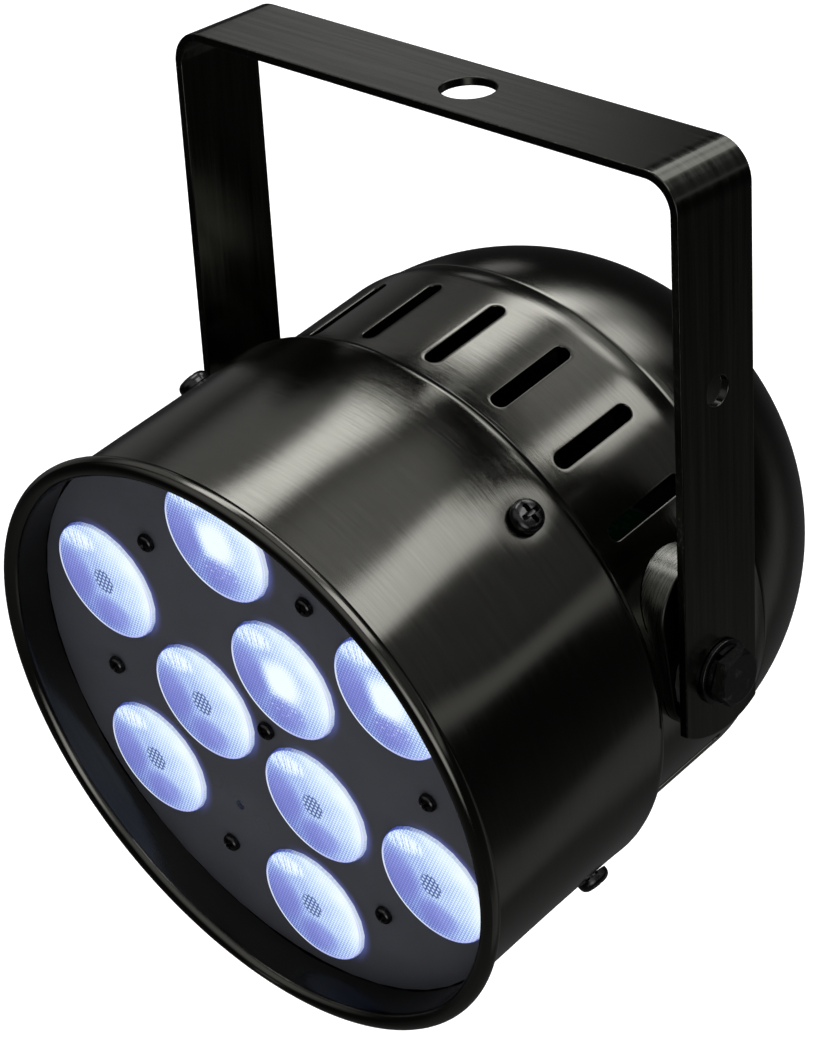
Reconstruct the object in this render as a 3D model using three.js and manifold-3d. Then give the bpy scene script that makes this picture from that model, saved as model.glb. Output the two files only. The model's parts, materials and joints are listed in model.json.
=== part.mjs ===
// LED par can light hung from a bent strap yoke, in millimetres.
// Frame: +Z up, origin at the centre of the clamp hole on the top face of the yoke's bar,
// X along the tilt axis, and the light shines towards -Y.
import * as THREE from 'three';
import { mergeVertices } from 'three/addons/utils/BufferGeometryUtils.js';
import Module from 'manifold-3d';

const wasm = await Module();
wasm.setup();

// ---- Driving dimensions -------------------------------------------------------------------
const gap = 0.3;                  // between pieces that touch
const roundSteps = 48;            // facets around the big shells
const shoulderSteps = 3;          // facets along the step where one shell enters the next
const cornerAngles = [45, 135, 225, 315];

// Shells. Along the can, 0 is the tilt axis and + is towards the front.
const sheet = 1.2;                // wall of the three spun shells
const rimStep = 4.6;              // of the rolled rim outside the front barrel
const beadRadius = 2.9;           // half the thickness of the rolled rim
const rimFront = 105.4;           // front of the rim
const barrelRear = 20;            // rear edge of the front barrel
const bandStep = 5.6;             // of the vent band inside the front barrel
const bandRear = -33;             // seam between the vent band and the dome
const seamPlay = 0.8;             // between the two shoulders, along the can
const flangeLength = 18;          // of the vent band's flange inside the barrel
const spigotLength = 7;           // of the vent band's lip inside the dome
const tuckDepth = 1.6;            // how far the band turns in at the seam
const tuckLength = 8;             // length of that turn
const domeStep = 1.2;             // of the dome's widest place inside the vent band
const domeCentre = -24.3;         // centre of that oval
const backFlat = -97;             // flat rear of the dome

// Vent slots
const slotCount = 22;             // pitches around the band
const slotWidth = 5.5;
const slotLength = 32.5;
const slotMiddle = -3.4;

// Lamp plate and optics
const plateFront = 91.3;
const plateThickness = 1.5;
const plateBorder = 5;            // of the plate outside the outer lenses
const lensRadius = 20.3;
const innerLand = 6.34;           // of the plate between two inner lenses
const outerLand = 6.52;           // of the plate between an inner and an outer lens
const lensProud = 1.0;            // lens face in front of the plate
const lensLip = 1.3;              // lip that keeps a lens behind the plate
const lensLipThickness = 1.6;
const lensDepth = 17.8;           // from the plate's face to a lens's small end
const lensRearRadius = 7;
const lensDraft = 1.5;            // how much narrower a lens is behind its lip
const screwInset = 2.3;           // of the plate screws' circle from the outer lenses' circle
const firstLens = 152;            // degrees from +X to the first outer lens
const sensorPlace = [-23, -40];
const sensorRadius = 1.8;

// Electronics and cooling
const boardThickness = 1.6;
const boardBorder = 15.4;         // of the board outside the circle of the outer lenses
const ledHeight = 1.6;
const ledClearance = 0.7;         // between a chip and its lens
const ledRadius = 3.4;
const sinkThickness = 6;
const finLength = 22;
const finThickness = 2.4;
const finPitch = 10;
const trayWidth = 90;
const trayLength = 97;
const trayHeight = -6;            // top of the tray's shelf above the can's axis
const trayFlange = 44;
const traySheet = 1.5;
const driverWidth = 78;
const driverLength = 82;
const driverGap = 4;              // between the tray's flange and the driver board
const railHeight = 6;
const railWidth = 7;

// Yoke
const strapWidth = 32;
const strapThickness = 2.8;
const bendRadius = 11.6;          // outside of the strap's bends
const yokeHeight = 160.6;         // top face above the tilt axis
const armClearance = 0.8;         // between the barrel and each arm
const armBelow = 20.4;            // arm's end below the tilt axis
const armEndRadius = 29;
const clampHoleRadius = 8.3;
const clampHoleOffset = 8.5;      // clamp hole from the middle of the bar, towards +X
const armHoleRadius = 4.6;        // of the hole in the +X arm
const armHoleHeight = 91.2;       // above the tilt axis
const restTilt = 9.3;             // degrees that the light points down at rest

// Tilt hardware
const boltRadius = 5;
const boltHeadFlats = 16;
const boltHeadHeight = 3.6;
const washerRadius = 10.2;
const washerThickness = 1.2;
const springRadius = 8.8;
const springThickness = 1.4;
const springSplit = 2;
const pivotPadWidth = 32;
const pivotPadAbove = 38;         // of a pad's upper end above the tilt axis
const pivotPadBelow = 20;         // of its lower end below the tilt axis
const pivotPadDepth = 0.8;        // inner end of a pad's block, as a share of the band's radius
const frictionRadius = 15;
const frictionThickness = 2;
const nutThickness = 8;

// Screws
const barrelScrewHead = 5.2;      // radius
const barrelScrewHeight = 3.4;
const barrelScrewShank = 2.4;
const barrelScrewLand = 11.1;     // from the barrel's shoulder to its screws
const plateScrewHead = 3;
const plateScrewHeight = 2.1;
const plateScrewShank = 1.5;

// Rear control panel
const panelRadius = 45;
const panelBorder = 2.34;         // of the dome's flat outside the panel
const panelThickness = 1.6;
const panelOpening = 38;          // radius of the hole in the dome behind it
const panelScrewHead = 2.6;
const panelScrewRing = 41.2;
const displaySize = [28, 11];
const displayPlace = 24.5;
const displayProud = 0.8;
const buttonRadius = 3;
const buttonTravel = 0.8;
const buttonProud = 2.6;
const buttonStop = 1.5;           // thickness of the collar that keeps a button in
const buttonPitch = 11;
const buttonRow = 11.5;
const dataRadius = 10.5;
const dataPlace = [23, -4];
const dataDepth = 15;
const dataWall = 1.6;
const pinRadius = 1.2;
const pinCircle = 4;
const pinSink = 6;                // pin tips and blades below a socket's mouth
const coreSink = 1;               // of a socket's core below its mouth
const coreClearance = 1.3;        // between a socket's core and its cup
const inletSize = [26, 18];
const inletPlace = -25.5;
const inletDepth = 17;
const inletWall = 2;
const bladeSize = [2, 4.5];
const bladePlace = [7, 2];        // of the outer blades from the inlet's middle
const collar = 1.5;               // border of a socket outside its hole
const collarThickness = 1.5;
const panelBoardSize = [44, 22];
const panelBoardMiddle = 19;      // above the can's axis
const panelBoardDepth = 6.5;      // of the control board's face behind the panel's inner side

// ---- Sizes that follow from them ----------------------------------------------------------
const innerRing = (2 * lensRadius + innerLand) / Math.sqrt(3);
const outerRing = innerRing * Math.cos(Math.PI / 6)
  + Math.sqrt((2 * lensRadius + outerLand) ** 2 - (innerRing / 2) ** 2);
const screwRing = outerRing - screwInset;
const barrelRadius = outerRing + lensRadius + plateBorder + gap + sheet;
const rimRadius = barrelRadius + rimStep;
const bandRadius = barrelRadius - bandStep;
const shoulder = bandStep - gap;
const barrelScrewPlace = barrelRear + shoulder + barrelScrewLand;
const domeRadius = bandRadius - domeStep;
const domeDepth = (domeCentre - backFlat)
  / Math.sqrt(1 - ((panelRadius + panelBorder) / domeRadius) ** 2);
const barrelInside = barrelRadius - sheet;
const armInside = barrelRadius + armClearance;
const armOutside = armInside + strapThickness;
const plateRear = plateFront - plateThickness;
const plateRadius = barrelInside - gap;
const lensRear = plateFront - lensDepth;
const boardFront = lensRear - ledHeight - ledClearance;
const boardRadius = outerRing + boardBorder;
const sinkFront = boardFront - boardThickness - gap;
const sinkBack = sinkFront - sinkThickness;
const finBack = sinkBack - finLength;
const trayFront = finBack - gap;
const trayRear = trayFront - trayLength;
const driverMiddle = trayFront - traySheet - driverGap - driverLength / 2;
const padFace = armInside - frictionThickness - 2 * gap;
const washerSeat = armOutside + gap;
const springSeat = washerSeat + washerThickness + gap;
const headSeat = springSeat + springThickness + gap;
const panelFront = backFlat - gap;
const panelBack = panelFront - panelThickness;
const collarFront = panelBack - gap;
const mouth = collarFront - collarThickness;
const nutFace = Math.sqrt((bandRadius - sheet) ** 2 - boltHeadFlats ** 2 / 3) - gap;
const screwDepth = 6;             // of a screw below the sheet that it holds

const degrees = (angle) => THREE.MathUtils.degToRad(angle);
const polar = (radius, angle) => [radius * Math.cos(degrees(angle)), radius * Math.sin(degrees(angle))];

// ---- Solids -------------------------------------------------------------------------------
/** A closed geometry with shared vertices and no empty triangles. */
function closed(geometry) {
  const bare = new THREE.BufferGeometry();
  bare.setAttribute('position', geometry.attributes.position);
  if (geometry.index) bare.setIndex(geometry.index);
  const merged = mergeVertices(bare, 1e-3);
  const kept = [];
  const index = merged.index.array;
  for (let i = 0; i < index.length; i += 3) {
    const [a, b, c] = [index[i], index[i + 1], index[i + 2]];
    if (a !== b && b !== c && c !== a) kept.push(a, b, c);
  }
  merged.setIndex(kept);
  return merged;
}

function toSolid(geometry) {
  const ready = closed(geometry);
  return new wasm.Manifold(new wasm.Mesh({
    numProp: 3,
    vertProperties: new Float32Array(ready.attributes.position.array),
    triVerts: new Uint32Array(ready.index.array),
  }));
}

function toGeometry(solid) {
  const mesh = solid.getMesh();
  const geometry = new THREE.BufferGeometry();
  geometry.setAttribute('position', new THREE.BufferAttribute(new Float32Array(mesh.vertProperties), 3));
  geometry.setIndex(new THREE.BufferAttribute(new Uint32Array(mesh.triVerts), 1));
  return geometry;
}

function cut(geometry, tools) {
  return toGeometry(tools.reduce((solid, tool) => solid.subtract(toSolid(tool)), toSolid(geometry)));
}

function join(geometry, others) {
  return toGeometry(others.reduce((solid, other) => solid.add(toSolid(other)), toSolid(geometry)));
}

function common(geometry, other) {
  return toGeometry(toSolid(geometry).intersect(toSolid(other)));
}

/** Points of an arc in an outline, from one angle to another, in degrees. */
function arc(x, y, radius, from, to, steps) {
  return Array.from({ length: steps + 1 }, (_, i) => {
    const [dx, dy] = polar(radius, from + (to - from) * i / steps);
    return [x + dx, y + dy];
  });
}

/** A solid turned about Z from [radius, z] points that close on themselves or on the axis. */
function turned(points, steps = roundSteps) {
  const outline = points.map(([r, z]) => new THREE.Vector2(Math.max(r, 0), z));
  if (THREE.ShapeUtils.area(outline) < 0) outline.reverse();
  const onAxis = outline.findIndex((p, i) => p.x === 0 && outline.at(i - 1).x === 0);
  const ordered = onAxis < 0 ? [...outline, outline[0]]
    : [...outline.slice(onAxis), ...outline.slice(0, onAxis)];
  return new THREE.LatheGeometry(ordered, steps).rotateX(Math.PI / 2);
}

/** A round bar along Z between two heights. */
function bar(radius, low, high, steps = 16) {
  return turned([[0, low], [radius, low], [radius, high], [0, high]], steps);
}

/** A flat ring along Z between two heights. */
function ring(inside, outside, low, high, steps = 18) {
  return turned([[inside, low], [outside, low], [outside, high], [inside, high]], steps);
}

function shapeOf(points) {
  return new THREE.Shape(points.map(([x, y]) => new THREE.Vector2(x, y)));
}

/** An outline in X and Y pushed along Z between two heights. */
function prism(points, low, high) {
  const geometry = new THREE.ExtrudeGeometry(shapeOf(points), { depth: high - low, bevelEnabled: false });
  return geometry.translate(0, 0, low);
}

function block(width, height, low, high, x = 0, y = 0) {
  return new THREE.BoxGeometry(width, height, high - low).translate(x, y, (low + high) / 2);
}

/** An outline with round ends along Y. */
function obround(width, length, steps = 8) {
  const reach = (length - width) / 2;
  return [...arc(0, reach, width / 2, 0, 180, steps), ...arc(0, -reach, width / 2, 180, 360, steps)];
}

function hexagon(flats) {
  return arc(0, 0, flats / Math.sqrt(3), 0, 300, 5);
}

/** Turns a solid that stands along Z so that it points outwards along X, on one side. */
const outwards = (geometry, side) => geometry.rotateY(side * Math.PI / 2);

/** Turns a solid that stands along Z so that it points outwards from the can's axis. */
function radial(geometry, angle, place) {
  return geometry.rotateY(Math.PI / 2).rotateZ(degrees(angle)).translate(0, 0, place);
}

/** A pan head and shank along Z: the head's seat is at 0. */
function panScrew(head, height, shank, depth, steps = 10) {
  const dome = arc(head - height * 0.8, height * 0.2, height * 0.8, 0, 90, 2);
  return turned([[0, -depth], [shank, -depth], [shank, 0], [head, 0], ...dome, [0, height]], steps);
}

// ---- Placing ------------------------------------------------------------------------------
const light = new THREE.Group();
const can = new THREE.Group();
can.rotation.x = Math.PI / 2 + degrees(restTilt);
can.position.set(-clampHoleOffset, 0, -yokeHeight);
light.add(can);
const yokeGroup = new THREE.Group();
yokeGroup.position.set(-clampHoleOffset, 0, -yokeHeight);
light.add(yokeGroup);

const finishes = {
  shell: { color: 0x1d1d1a, roughness: 0.28, metalness: 0.95 },
  strap: { color: 0x232320, roughness: 0.42, metalness: 0.8 },
  plate: { color: 0x2b2b31, roughness: 0.6, metalness: 0.4 },
  lens: { color: 0xa9c4ff, roughness: 0.1, metalness: 0 },
  screw: { color: 0x0c0c0c, roughness: 0.25, metalness: 0.9 },
  bare: { color: 0x9a9c9e, roughness: 0.45, metalness: 0.9 },
  board: { color: 0x0f4a2a, roughness: 0.5, metalness: 0 },
  plastic: { color: 0x111111, roughness: 0.5, metalness: 0 },
  rubber: { color: 0x161616, roughness: 0.9, metalness: 0 },
};

function add(group, name, geometry, finish) {
  const ready = closed(geometry);
  ready.computeVertexNormals();
  const mesh = new THREE.Mesh(ready, new THREE.MeshStandardMaterial(finishes[finish]));
  mesh.name = name;
  group.add(mesh);
  return mesh;
}

// ---- Shells -------------------------------------------------------------------------------
function barrelHoles() {
  return cornerAngles.map((angle) =>
    radial(bar(barrelScrewShank + gap, barrelInside - 8, rimRadius, 12), angle, barrelScrewPlace));
}

function frontBarrel() {
  const lip = bandRadius + gap;
  const middle = rimRadius - beadRadius;
  const under = degrees(180) + Math.acos((middle - barrelRadius) / beadRadius);
  const bead = arc(middle, rimFront - beadRadius, beadRadius, THREE.MathUtils.radToDeg(under) - 360, 180, 8);
  return cut(turned([
    ...arc(lip, barrelRear + shoulder, shoulder, -90, 0, shoulderSteps),
    ...bead,
    ...arc(lip, barrelRear + shoulder, shoulder - sheet, 0, -90, shoulderSteps),
  ]), barrelHoles());
}

/** Slots all round the band, but not where the pivot pads sit. */
function ventSlots() {
  const pitch = 360 / slotCount;
  const covered = THREE.MathUtils.radToDeg(Math.asin((pivotPadAbove + slotWidth) / bandRadius));
  const angles = Array.from({ length: slotCount }, (_, i) => pitch / 2 + 90 + i * pitch);
  const clear = angles.filter((angle) => Math.abs(Math.sin(degrees(angle))) > Math.sin(degrees(covered)));
  return clear.map((angle) =>
    radial(prism(obround(slotWidth, slotLength, 3), bandRadius - 6, bandRadius + 4)
      .rotateZ(Math.PI / 2), angle, slotMiddle));
}

/** Radius of the dome's oval at a place along the can, inset by a wall. */
function domeAt(place, inset = 0) {
  return (domeRadius - inset) * Math.sqrt(1 - ((place - domeCentre) / (domeDepth - inset)) ** 2);
}

function ventBand() {
  const flange = barrelInside - gap;
  const step = shoulder - sheet;
  const spigot = domeAt(bandRear - spigotLength, sheet) - gap;
  const stepPlace = barrelRear + shoulder + seamPlay;
  const tuck = [0, 0.5, 1].map((t) =>
    [bandRadius - tuckDepth * (1 - Math.cos(t * Math.PI / 2)), bandRear + tuckLength * (1 - t)]);
  const inside = tuck.map(([r, z]) => [r - sheet, z]).reverse();
  const body = turned([
    [spigot, bandRear - spigotLength], [spigot, bandRear], ...tuck.reverse(),
    ...arc(bandRadius, stepPlace, step, -90, 0, shoulderSteps), [flange, stepPlace + flangeLength],
    [flange - sheet, stepPlace + flangeLength],
    ...arc(bandRadius, stepPlace, step - sheet, 0, -90, shoulderSteps),
    [bandRadius - sheet, stepPlace - step + sheet], ...inside.reverse(),
    [spigot - sheet, bandRear + sheet], [spigot - sheet, bandRear - spigotLength],
  ]);
  const boltHoles = [1, -1].map((side) =>
    outwards(bar(boltRadius + gap, bandRadius - 20, bandRadius + 10), side));
  return cut(body, [...ventSlots(), ...boltHoles, ...barrelHoles()]);
}

function rearDome() {
  const front = bandRear - gap;
  const curve = (inset, last) => Array.from({ length: 9 }, (_, i) => {
    const from = Math.asin((front - domeCentre) / (domeDepth - inset));
    const to = Math.asin((last - domeCentre) / (domeDepth - inset));
    const angle = from + (to - from) * i / 8;
    return [(domeRadius - inset) * Math.cos(angle), domeCentre + (domeDepth - inset) * Math.sin(angle)];
  });
  const screws = panelScrewPlaces().map(([x, y]) =>
    bar(plateScrewShank + gap, backFlat - 5, backFlat + 5, 12).translate(x, y, 0));
  return cut(turned([
    ...curve(0, backFlat), [panelOpening, backFlat], [panelOpening, backFlat + sheet],
    ...curve(sheet, backFlat + sheet).reverse(),
  ]), screws);
}

// ---- Lamp plate and optics ----------------------------------------------------------------
const lensPlaces = [
  ...Array.from({ length: 6 }, (_, i) => polar(outerRing, firstLens - 60 * i)),
  ...Array.from({ length: 3 }, (_, i) => polar(innerRing, firstLens - 90 - 120 * i)),
];
const plateScrewPlaces = [
  ...Array.from({ length: 6 }, (_, i) => polar(screwRing, firstLens - 30 - 60 * i)), [0, 0],
];

function screwHoles(low, high) {
  return plateScrewPlaces.map(([x, y]) => bar(plateScrewShank + gap, low, high, 12).translate(x, y, 0));
}

function lampPlate() {
  const lensHoles = lensPlaces.map(([x, y]) =>
    bar(lensRadius + gap, plateRear - 2, plateFront + 2, 22).translate(x, y, 0));
  const sensor = bar(sensorRadius, plateRear - 2, plateFront + 2, 12).translate(...sensorPlace, 0);
  return cut(bar(plateRadius, plateRear, plateFront, roundSteps),
    [...lensHoles, ...screwHoles(plateRear - 2, plateFront + 2), sensor]);
}

/** Ring inside the barrel that the lamp plate rests on, clear of the outer lenses. */
function plateRing() {
  const inside = outerRing + lensRadius + lensLip + 2 * gap;
  return ring(inside, plateRadius, plateRear - gap - 4.5, plateRear - gap, roundSteps);
}

function lens() {
  const back = plateRear - gap;
  const face = plateFront + lensProud;
  return turned([
    [0, lensRear], [lensRearRadius, lensRear], [lensRadius - lensDraft, back - lensLipThickness],
    [lensRadius + lensLip, back - lensLipThickness], [lensRadius + lensLip, back], [lensRadius, back],
    [lensRadius, face], [0, face],
  ], 18);
}

function ledBoard() {
  const chips = lensPlaces.map(([x, y]) =>
    bar(ledRadius, boardFront - 0.5, boardFront + ledHeight, 10).translate(x, y, 0));
  const body = join(bar(boardRadius, boardFront - boardThickness, boardFront, 36), chips);
  return cut(body, screwHoles(boardFront - 5, boardFront + 5));
}

function heatSink() {
  const reach = Math.floor((boardRadius - finThickness) / finPitch);
  const fins = Array.from({ length: 2 * reach + 1 }, (_, i) =>
    block(finThickness, 2 * boardRadius, finBack, sinkBack + 1, (i - reach) * finPitch, 0));
  const base = bar(boardRadius, sinkBack, sinkFront, 36);
  const limit = bar(boardRadius, finBack, sinkFront, 36);
  return cut(common(join(base, fins), limit), screwHoles(sinkFront - 5, sinkFront + 5));
}

// ---- Power supply -------------------------------------------------------------------------
/** Bent sheet: an upright flange behind the fins and a level shelf behind that. */
function driverTray() {
  const low = trayHeight - traySheet;
  const outline = [[trayRear, low], [trayFront, low], [trayFront, low + trayFlange],
    [trayFront - traySheet, low + trayFlange], [trayFront - traySheet, trayHeight], [trayRear, trayHeight]];
  return prism(outline, -trayWidth / 2, trayWidth / 2).rotateY(-Math.PI / 2);
}

/** Bar under one long edge of the driver board. */
function boardRail(side) {
  const low = trayHeight + gap;
  return new THREE.BoxGeometry(railWidth, railHeight, driverLength)
    .translate(side * (driverWidth - railWidth) / 2, low + railHeight / 2, driverMiddle);
}

/** Circuit board with its transformer, capacitors, choke and heat-sunk transistor. */
function driverBoard() {
  const low = trayHeight + railHeight + 2 * gap;
  const top = low + boardThickness;
  const middle = driverMiddle;
  const upright = (radius, height, x, z) =>
    bar(radius, 0, height + 0.5, 14).rotateX(-Math.PI / 2).translate(x, top - 0.5, z);
  const box = (width, height, length, x, z) =>
    new THREE.BoxGeometry(width, height + 0.5, length).translate(x, top + height / 2 - 0.25, z);
  return join(new THREE.BoxGeometry(driverWidth, boardThickness, driverLength)
    .translate(0, low + boardThickness / 2, middle), [
    box(30, 22, 26, 14, middle), box(16, 14, 12, -22, middle + 28), box(4, 24, 22, -2, middle - 28),
    upright(8, 26, -24, middle - 2), upright(5, 16, -26, middle - 24), upright(5, 16, 24, middle + 28),
  ]);
}

// ---- Yoke and tilt hardware ---------------------------------------------------------------
/** Outline of the strap's arm seen along X: straight sides and a round lower end. */
function armOutline() {
  const half = strapWidth / 2;
  const sweep = THREE.MathUtils.radToDeg(Math.asin(half / armEndRadius));
  const end = arc(0, armEndRadius - armBelow, armEndRadius, 270 - sweep, 270 + sweep, 10);
  return [...end, [half, yokeHeight + 5], [-half, yokeHeight + 5]];
}

function yoke() {
  const inner = bendRadius - strapThickness;
  const foot = -armBelow - 5;
  const top = yokeHeight - bendRadius;
  const side = armOutside - bendRadius;
  const outline = [[armOutside, foot], ...arc(side, top, bendRadius, 0, 90, 8),
    ...arc(-side, top, bendRadius, 90, 180, 8), [-armOutside, foot], [-armInside, foot],
    ...arc(-side, top, inner, 180, 90, 8), ...arc(side, top, inner, 90, 0, 8), [armInside, foot]];
  const strap = prism(outline, -strapWidth / 2, strapWidth / 2).rotateX(Math.PI / 2);
  const limit = prism(armOutline(), -armOutside - 5, armOutside + 5)
    .applyMatrix4(new THREE.Matrix4().makeBasis(
      new THREE.Vector3(0, 1, 0), new THREE.Vector3(0, 0, 1), new THREE.Vector3(1, 0, 0)));
  const clampHole = bar(clampHoleRadius, yokeHeight - 10, yokeHeight + 5, 32)
    .translate(clampHoleOffset, 0, 0);
  const through = (radius, side) => outwards(bar(radius, armInside - 5, armOutside + 5, 24), side);
  const armHole = through(armHoleRadius, 1).translate(0, 0, armHoleHeight);
  const boltHoles = [1, -1].map((side) => through(boltRadius + gap, side));
  return cut(common(strap, limit), [clampHole, armHole, ...boltHoles]);
}

function tiltBolt(side) {
  const head = prism(hexagon(boltHeadFlats), headSeat, headSeat + boltHeadHeight);
  const shank = bar(boltRadius, nutFace - nutThickness - 3, headSeat + 1);
  return outwards(join(head, [shank]), side);
}

function tiltNut(side) {
  const body = prism(hexagon(boltHeadFlats), nutFace - nutThickness, nutFace);
  return outwards(cut(body, [bar(boltRadius + gap, nutFace - nutThickness - 1, nutFace + 1)]), side);
}

function flatWasher(side) {
  return outwards(ring(boltRadius + gap, washerRadius, washerSeat, washerSeat + washerThickness), side);
}

/** Split ring under the bolt's head. */
function springWasher(side) {
  const body = ring(boltRadius + gap, springRadius, springSeat, springSeat + springThickness);
  const top = springSeat + springThickness;
  const split = block(springRadius * 2, springSplit, springSeat - 1, top + 1, springRadius, 0);
  return outwards(cut(body, [split.rotateZ(degrees(20))]), side);
}

function frictionWasher(side) {
  const seat = padFace + gap;
  return outwards(ring(boltRadius + gap, frictionRadius, seat, seat + frictionThickness), side);
}

/** Pad with a flat face for the arm and a hollow back that fits the vent band. */
function pivotPad(side) {
  const inner = bandRadius * pivotPadDepth;
  const outline = prism(obround(pivotPadWidth, pivotPadAbove + pivotPadBelow), inner, padFace);
  const body = outwards(outline.translate(0, (pivotPadAbove - pivotPadBelow) / 2, 0), side);
  const hole = outwards(bar(boltRadius + gap, inner - 2, padFace + 2), side);
  return cut(body, [bar(bandRadius + gap, -60, 60, roundSteps), hole]);
}

// ---- Rear control panel -------------------------------------------------------------------
function panelScrewPlaces() {
  return cornerAngles.map((angle) => polar(panelScrewRing, angle));
}

const buttonPlaces = [-1.5, -0.5, 0.5, 1.5].map((step) => [step * buttonPitch, buttonRow]);
const dataPlaces = [[-dataPlace[0], dataPlace[1]], dataPlace];

function controlPanel() {
  const low = panelBack - 2;
  const high = panelFront + 2;
  const holes = [
    ...buttonPlaces.map(([x, y]) => bar(buttonRadius + gap, low, high, 12).translate(x, y, 0)),
    ...dataPlaces.map(([x, y]) => bar(dataRadius + gap, low, high, 18).translate(x, y, 0)),
    ...panelScrewPlaces().map(([x, y]) => bar(plateScrewShank + gap, low, high, 12).translate(x, y, 0)),
    block(displaySize[0] + 2 * gap, displaySize[1] + 2 * gap, low, high, 0, displayPlace),
    block(inletSize[0] + 2 * gap, inletSize[1] + 2 * gap, low, high, 0, inletPlace),
  ];
  return cut(bar(panelRadius, panelBack, panelFront, 36), holes);
}

function displayWindow() {
  const [width, height] = displaySize;
  const seat = panelFront + gap;
  const face = block(width, height, panelBack - displayProud, seat, 0, displayPlace);
  const stop = block(width + 4, height + 4, seat, seat + 3, 0, displayPlace);
  return join(face, [stop]);
}

function button(index) {
  const [x, y] = buttonPlaces[index];
  const outside = panelBack - buttonProud;
  const seat = panelFront + gap;
  const stop = buttonRadius + 1.2;
  return turned([[0, outside], [buttonRadius - 0.5, outside], [buttonRadius, outside + 0.5],
    [buttonRadius, seat], [stop, seat], [stop, seat + buttonStop], [0, seat + buttonStop]], 12)
    .translate(x, y, 0);
}

/** Control board behind the panel: a push switch behind each button, and two corner posts. */
function controlBoard() {
  const [width, height] = panelBoardSize;
  const back = panelFront + panelBoardDepth;
  const press = panelFront + 2 * gap + buttonStop + buttonTravel;
  const switches = buttonPlaces.map(([x, y]) => block(6, 6, press, back + 0.5, x, y));
  const post = [-1, 1].map((side) =>
    block(4, 4, panelFront + gap, back + 0.5, side * (width / 2 - 2), panelBoardMiddle + height / 2 - 2));
  return join(block(width, height, back, back + boardThickness, 0, panelBoardMiddle), [...switches, ...post]);
}

const pinPlaces = [90, 210, 330].map((angle) => polar(pinCircle, angle));

/** Cup of a data socket: a round wall with a floor, and a border outside the panel. */
function dataCup([x, y]) {
  const floor = mouth + dataDepth;
  const inner = dataRadius - dataWall;
  return turned([[0, floor], [inner, floor], [inner, mouth], [dataRadius + collar, mouth],
    [dataRadius + collar, collarFront], [dataRadius, collarFront], [dataRadius, floor + dataWall],
    [0, floor + dataWall]], 18).translate(x, y, 0);
}

/** The data input: a cup with three pins on its floor. */
function dataInput([x, y]) {
  const pins = pinPlaces.map(([px, py]) =>
    bar(pinRadius, mouth + pinSink, mouth + dataDepth + 1, 10).translate(x + px, y + py, 0));
  return join(dataCup([x, y]), pins);
}

/** Core that stands in the data output's cup, with a hole for each pin of a plug. */
function dataCore([x, y]) {
  const floor = mouth + dataDepth;
  const holes = pinPlaces.map(([px, py]) => bar(pinRadius, mouth - 1, floor - 2, 10).translate(px, py, 0));
  const core = bar(dataRadius - dataWall - coreClearance, mouth + coreSink, floor - gap, 18);
  return cut(core, holes).translate(x, y, 0);
}

/** Mains inlet: a box open to the rear, with a border outside and three blades. */
function mainsInlet() {
  const floor = mouth + inletDepth;
  const [width, height] = inletSize;
  const shell = join(block(width, height, mouth, floor + inletWall, 0, inletPlace),
    [block(width + 2 * collar, height + 2 * collar, mouth, collarFront, 0, inletPlace)]);
  const hollow = block(width - 2 * inletWall, height - 2 * inletWall, mouth - 1, floor, 0, inletPlace);
  const blades = [[-bladePlace[0], -bladePlace[1]], [0, bladePlace[1]], [bladePlace[0], -bladePlace[1]]]
    .map(([x, y]) => block(bladeSize[0], bladeSize[1], mouth + pinSink, floor + 1, x, inletPlace + y));
  return join(cut(shell, [hollow]), blades);
}

// ---- Assembly -----------------------------------------------------------------------------
add(yokeGroup, 'yoke', yoke(), 'strap');

add(can, 'front_barrel', frontBarrel(), 'shell');
add(can, 'vent_band', ventBand(), 'shell');
add(can, 'rear_dome', rearDome(), 'shell');
add(can, 'lamp_plate', lampPlate(), 'plate');
add(can, 'plate_ring', plateRing(), 'bare');
lensPlaces.forEach(([x, y], i) => add(can, `lens_${i + 1}`, lens().translate(x, y, 0), 'lens'));
plateScrewPlaces.forEach(([x, y], i) => {
  const depth = plateFront - sinkFront + 5 - gap;
  const screw = panScrew(plateScrewHead, plateScrewHeight, plateScrewShank, depth);
  add(can, `plate_screw_${i + 1}`, screw.translate(x, y, plateFront + gap), 'screw');
});
add(can, 'led_board', ledBoard(), 'board');
add(can, 'heat_sink', heatSink(), 'bare');
add(can, 'driver_tray', driverTray(), 'bare');
add(can, 'driver_board', driverBoard(), 'board');

cornerAngles.forEach((angle, i) => {
  const screw = panScrew(barrelScrewHead, barrelScrewHeight, barrelScrewShank, screwDepth);
  const seated = screw.translate(0, 0, barrelRadius + gap);
  add(can, `barrel_screw_${i + 1}`, radial(seated, angle, barrelScrewPlace), 'screw');
});

[['left', -1], ['right', 1]].forEach(([name, side]) => {
  add(can, `board_rail_${name}`, boardRail(side), 'plastic');
  add(can, `pivot_pad_${name}`, pivotPad(side), 'shell');
  add(can, `friction_washer_${name}`, frictionWasher(side), 'rubber');
  add(can, `tilt_nut_${name}`, tiltNut(side), 'bare');
  add(can, `tilt_bolt_${name}`, tiltBolt(side), 'screw');
  add(can, `flat_washer_${name}`, flatWasher(side), 'screw');
  add(can, `spring_washer_${name}`, springWasher(side), 'screw');
});

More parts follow.
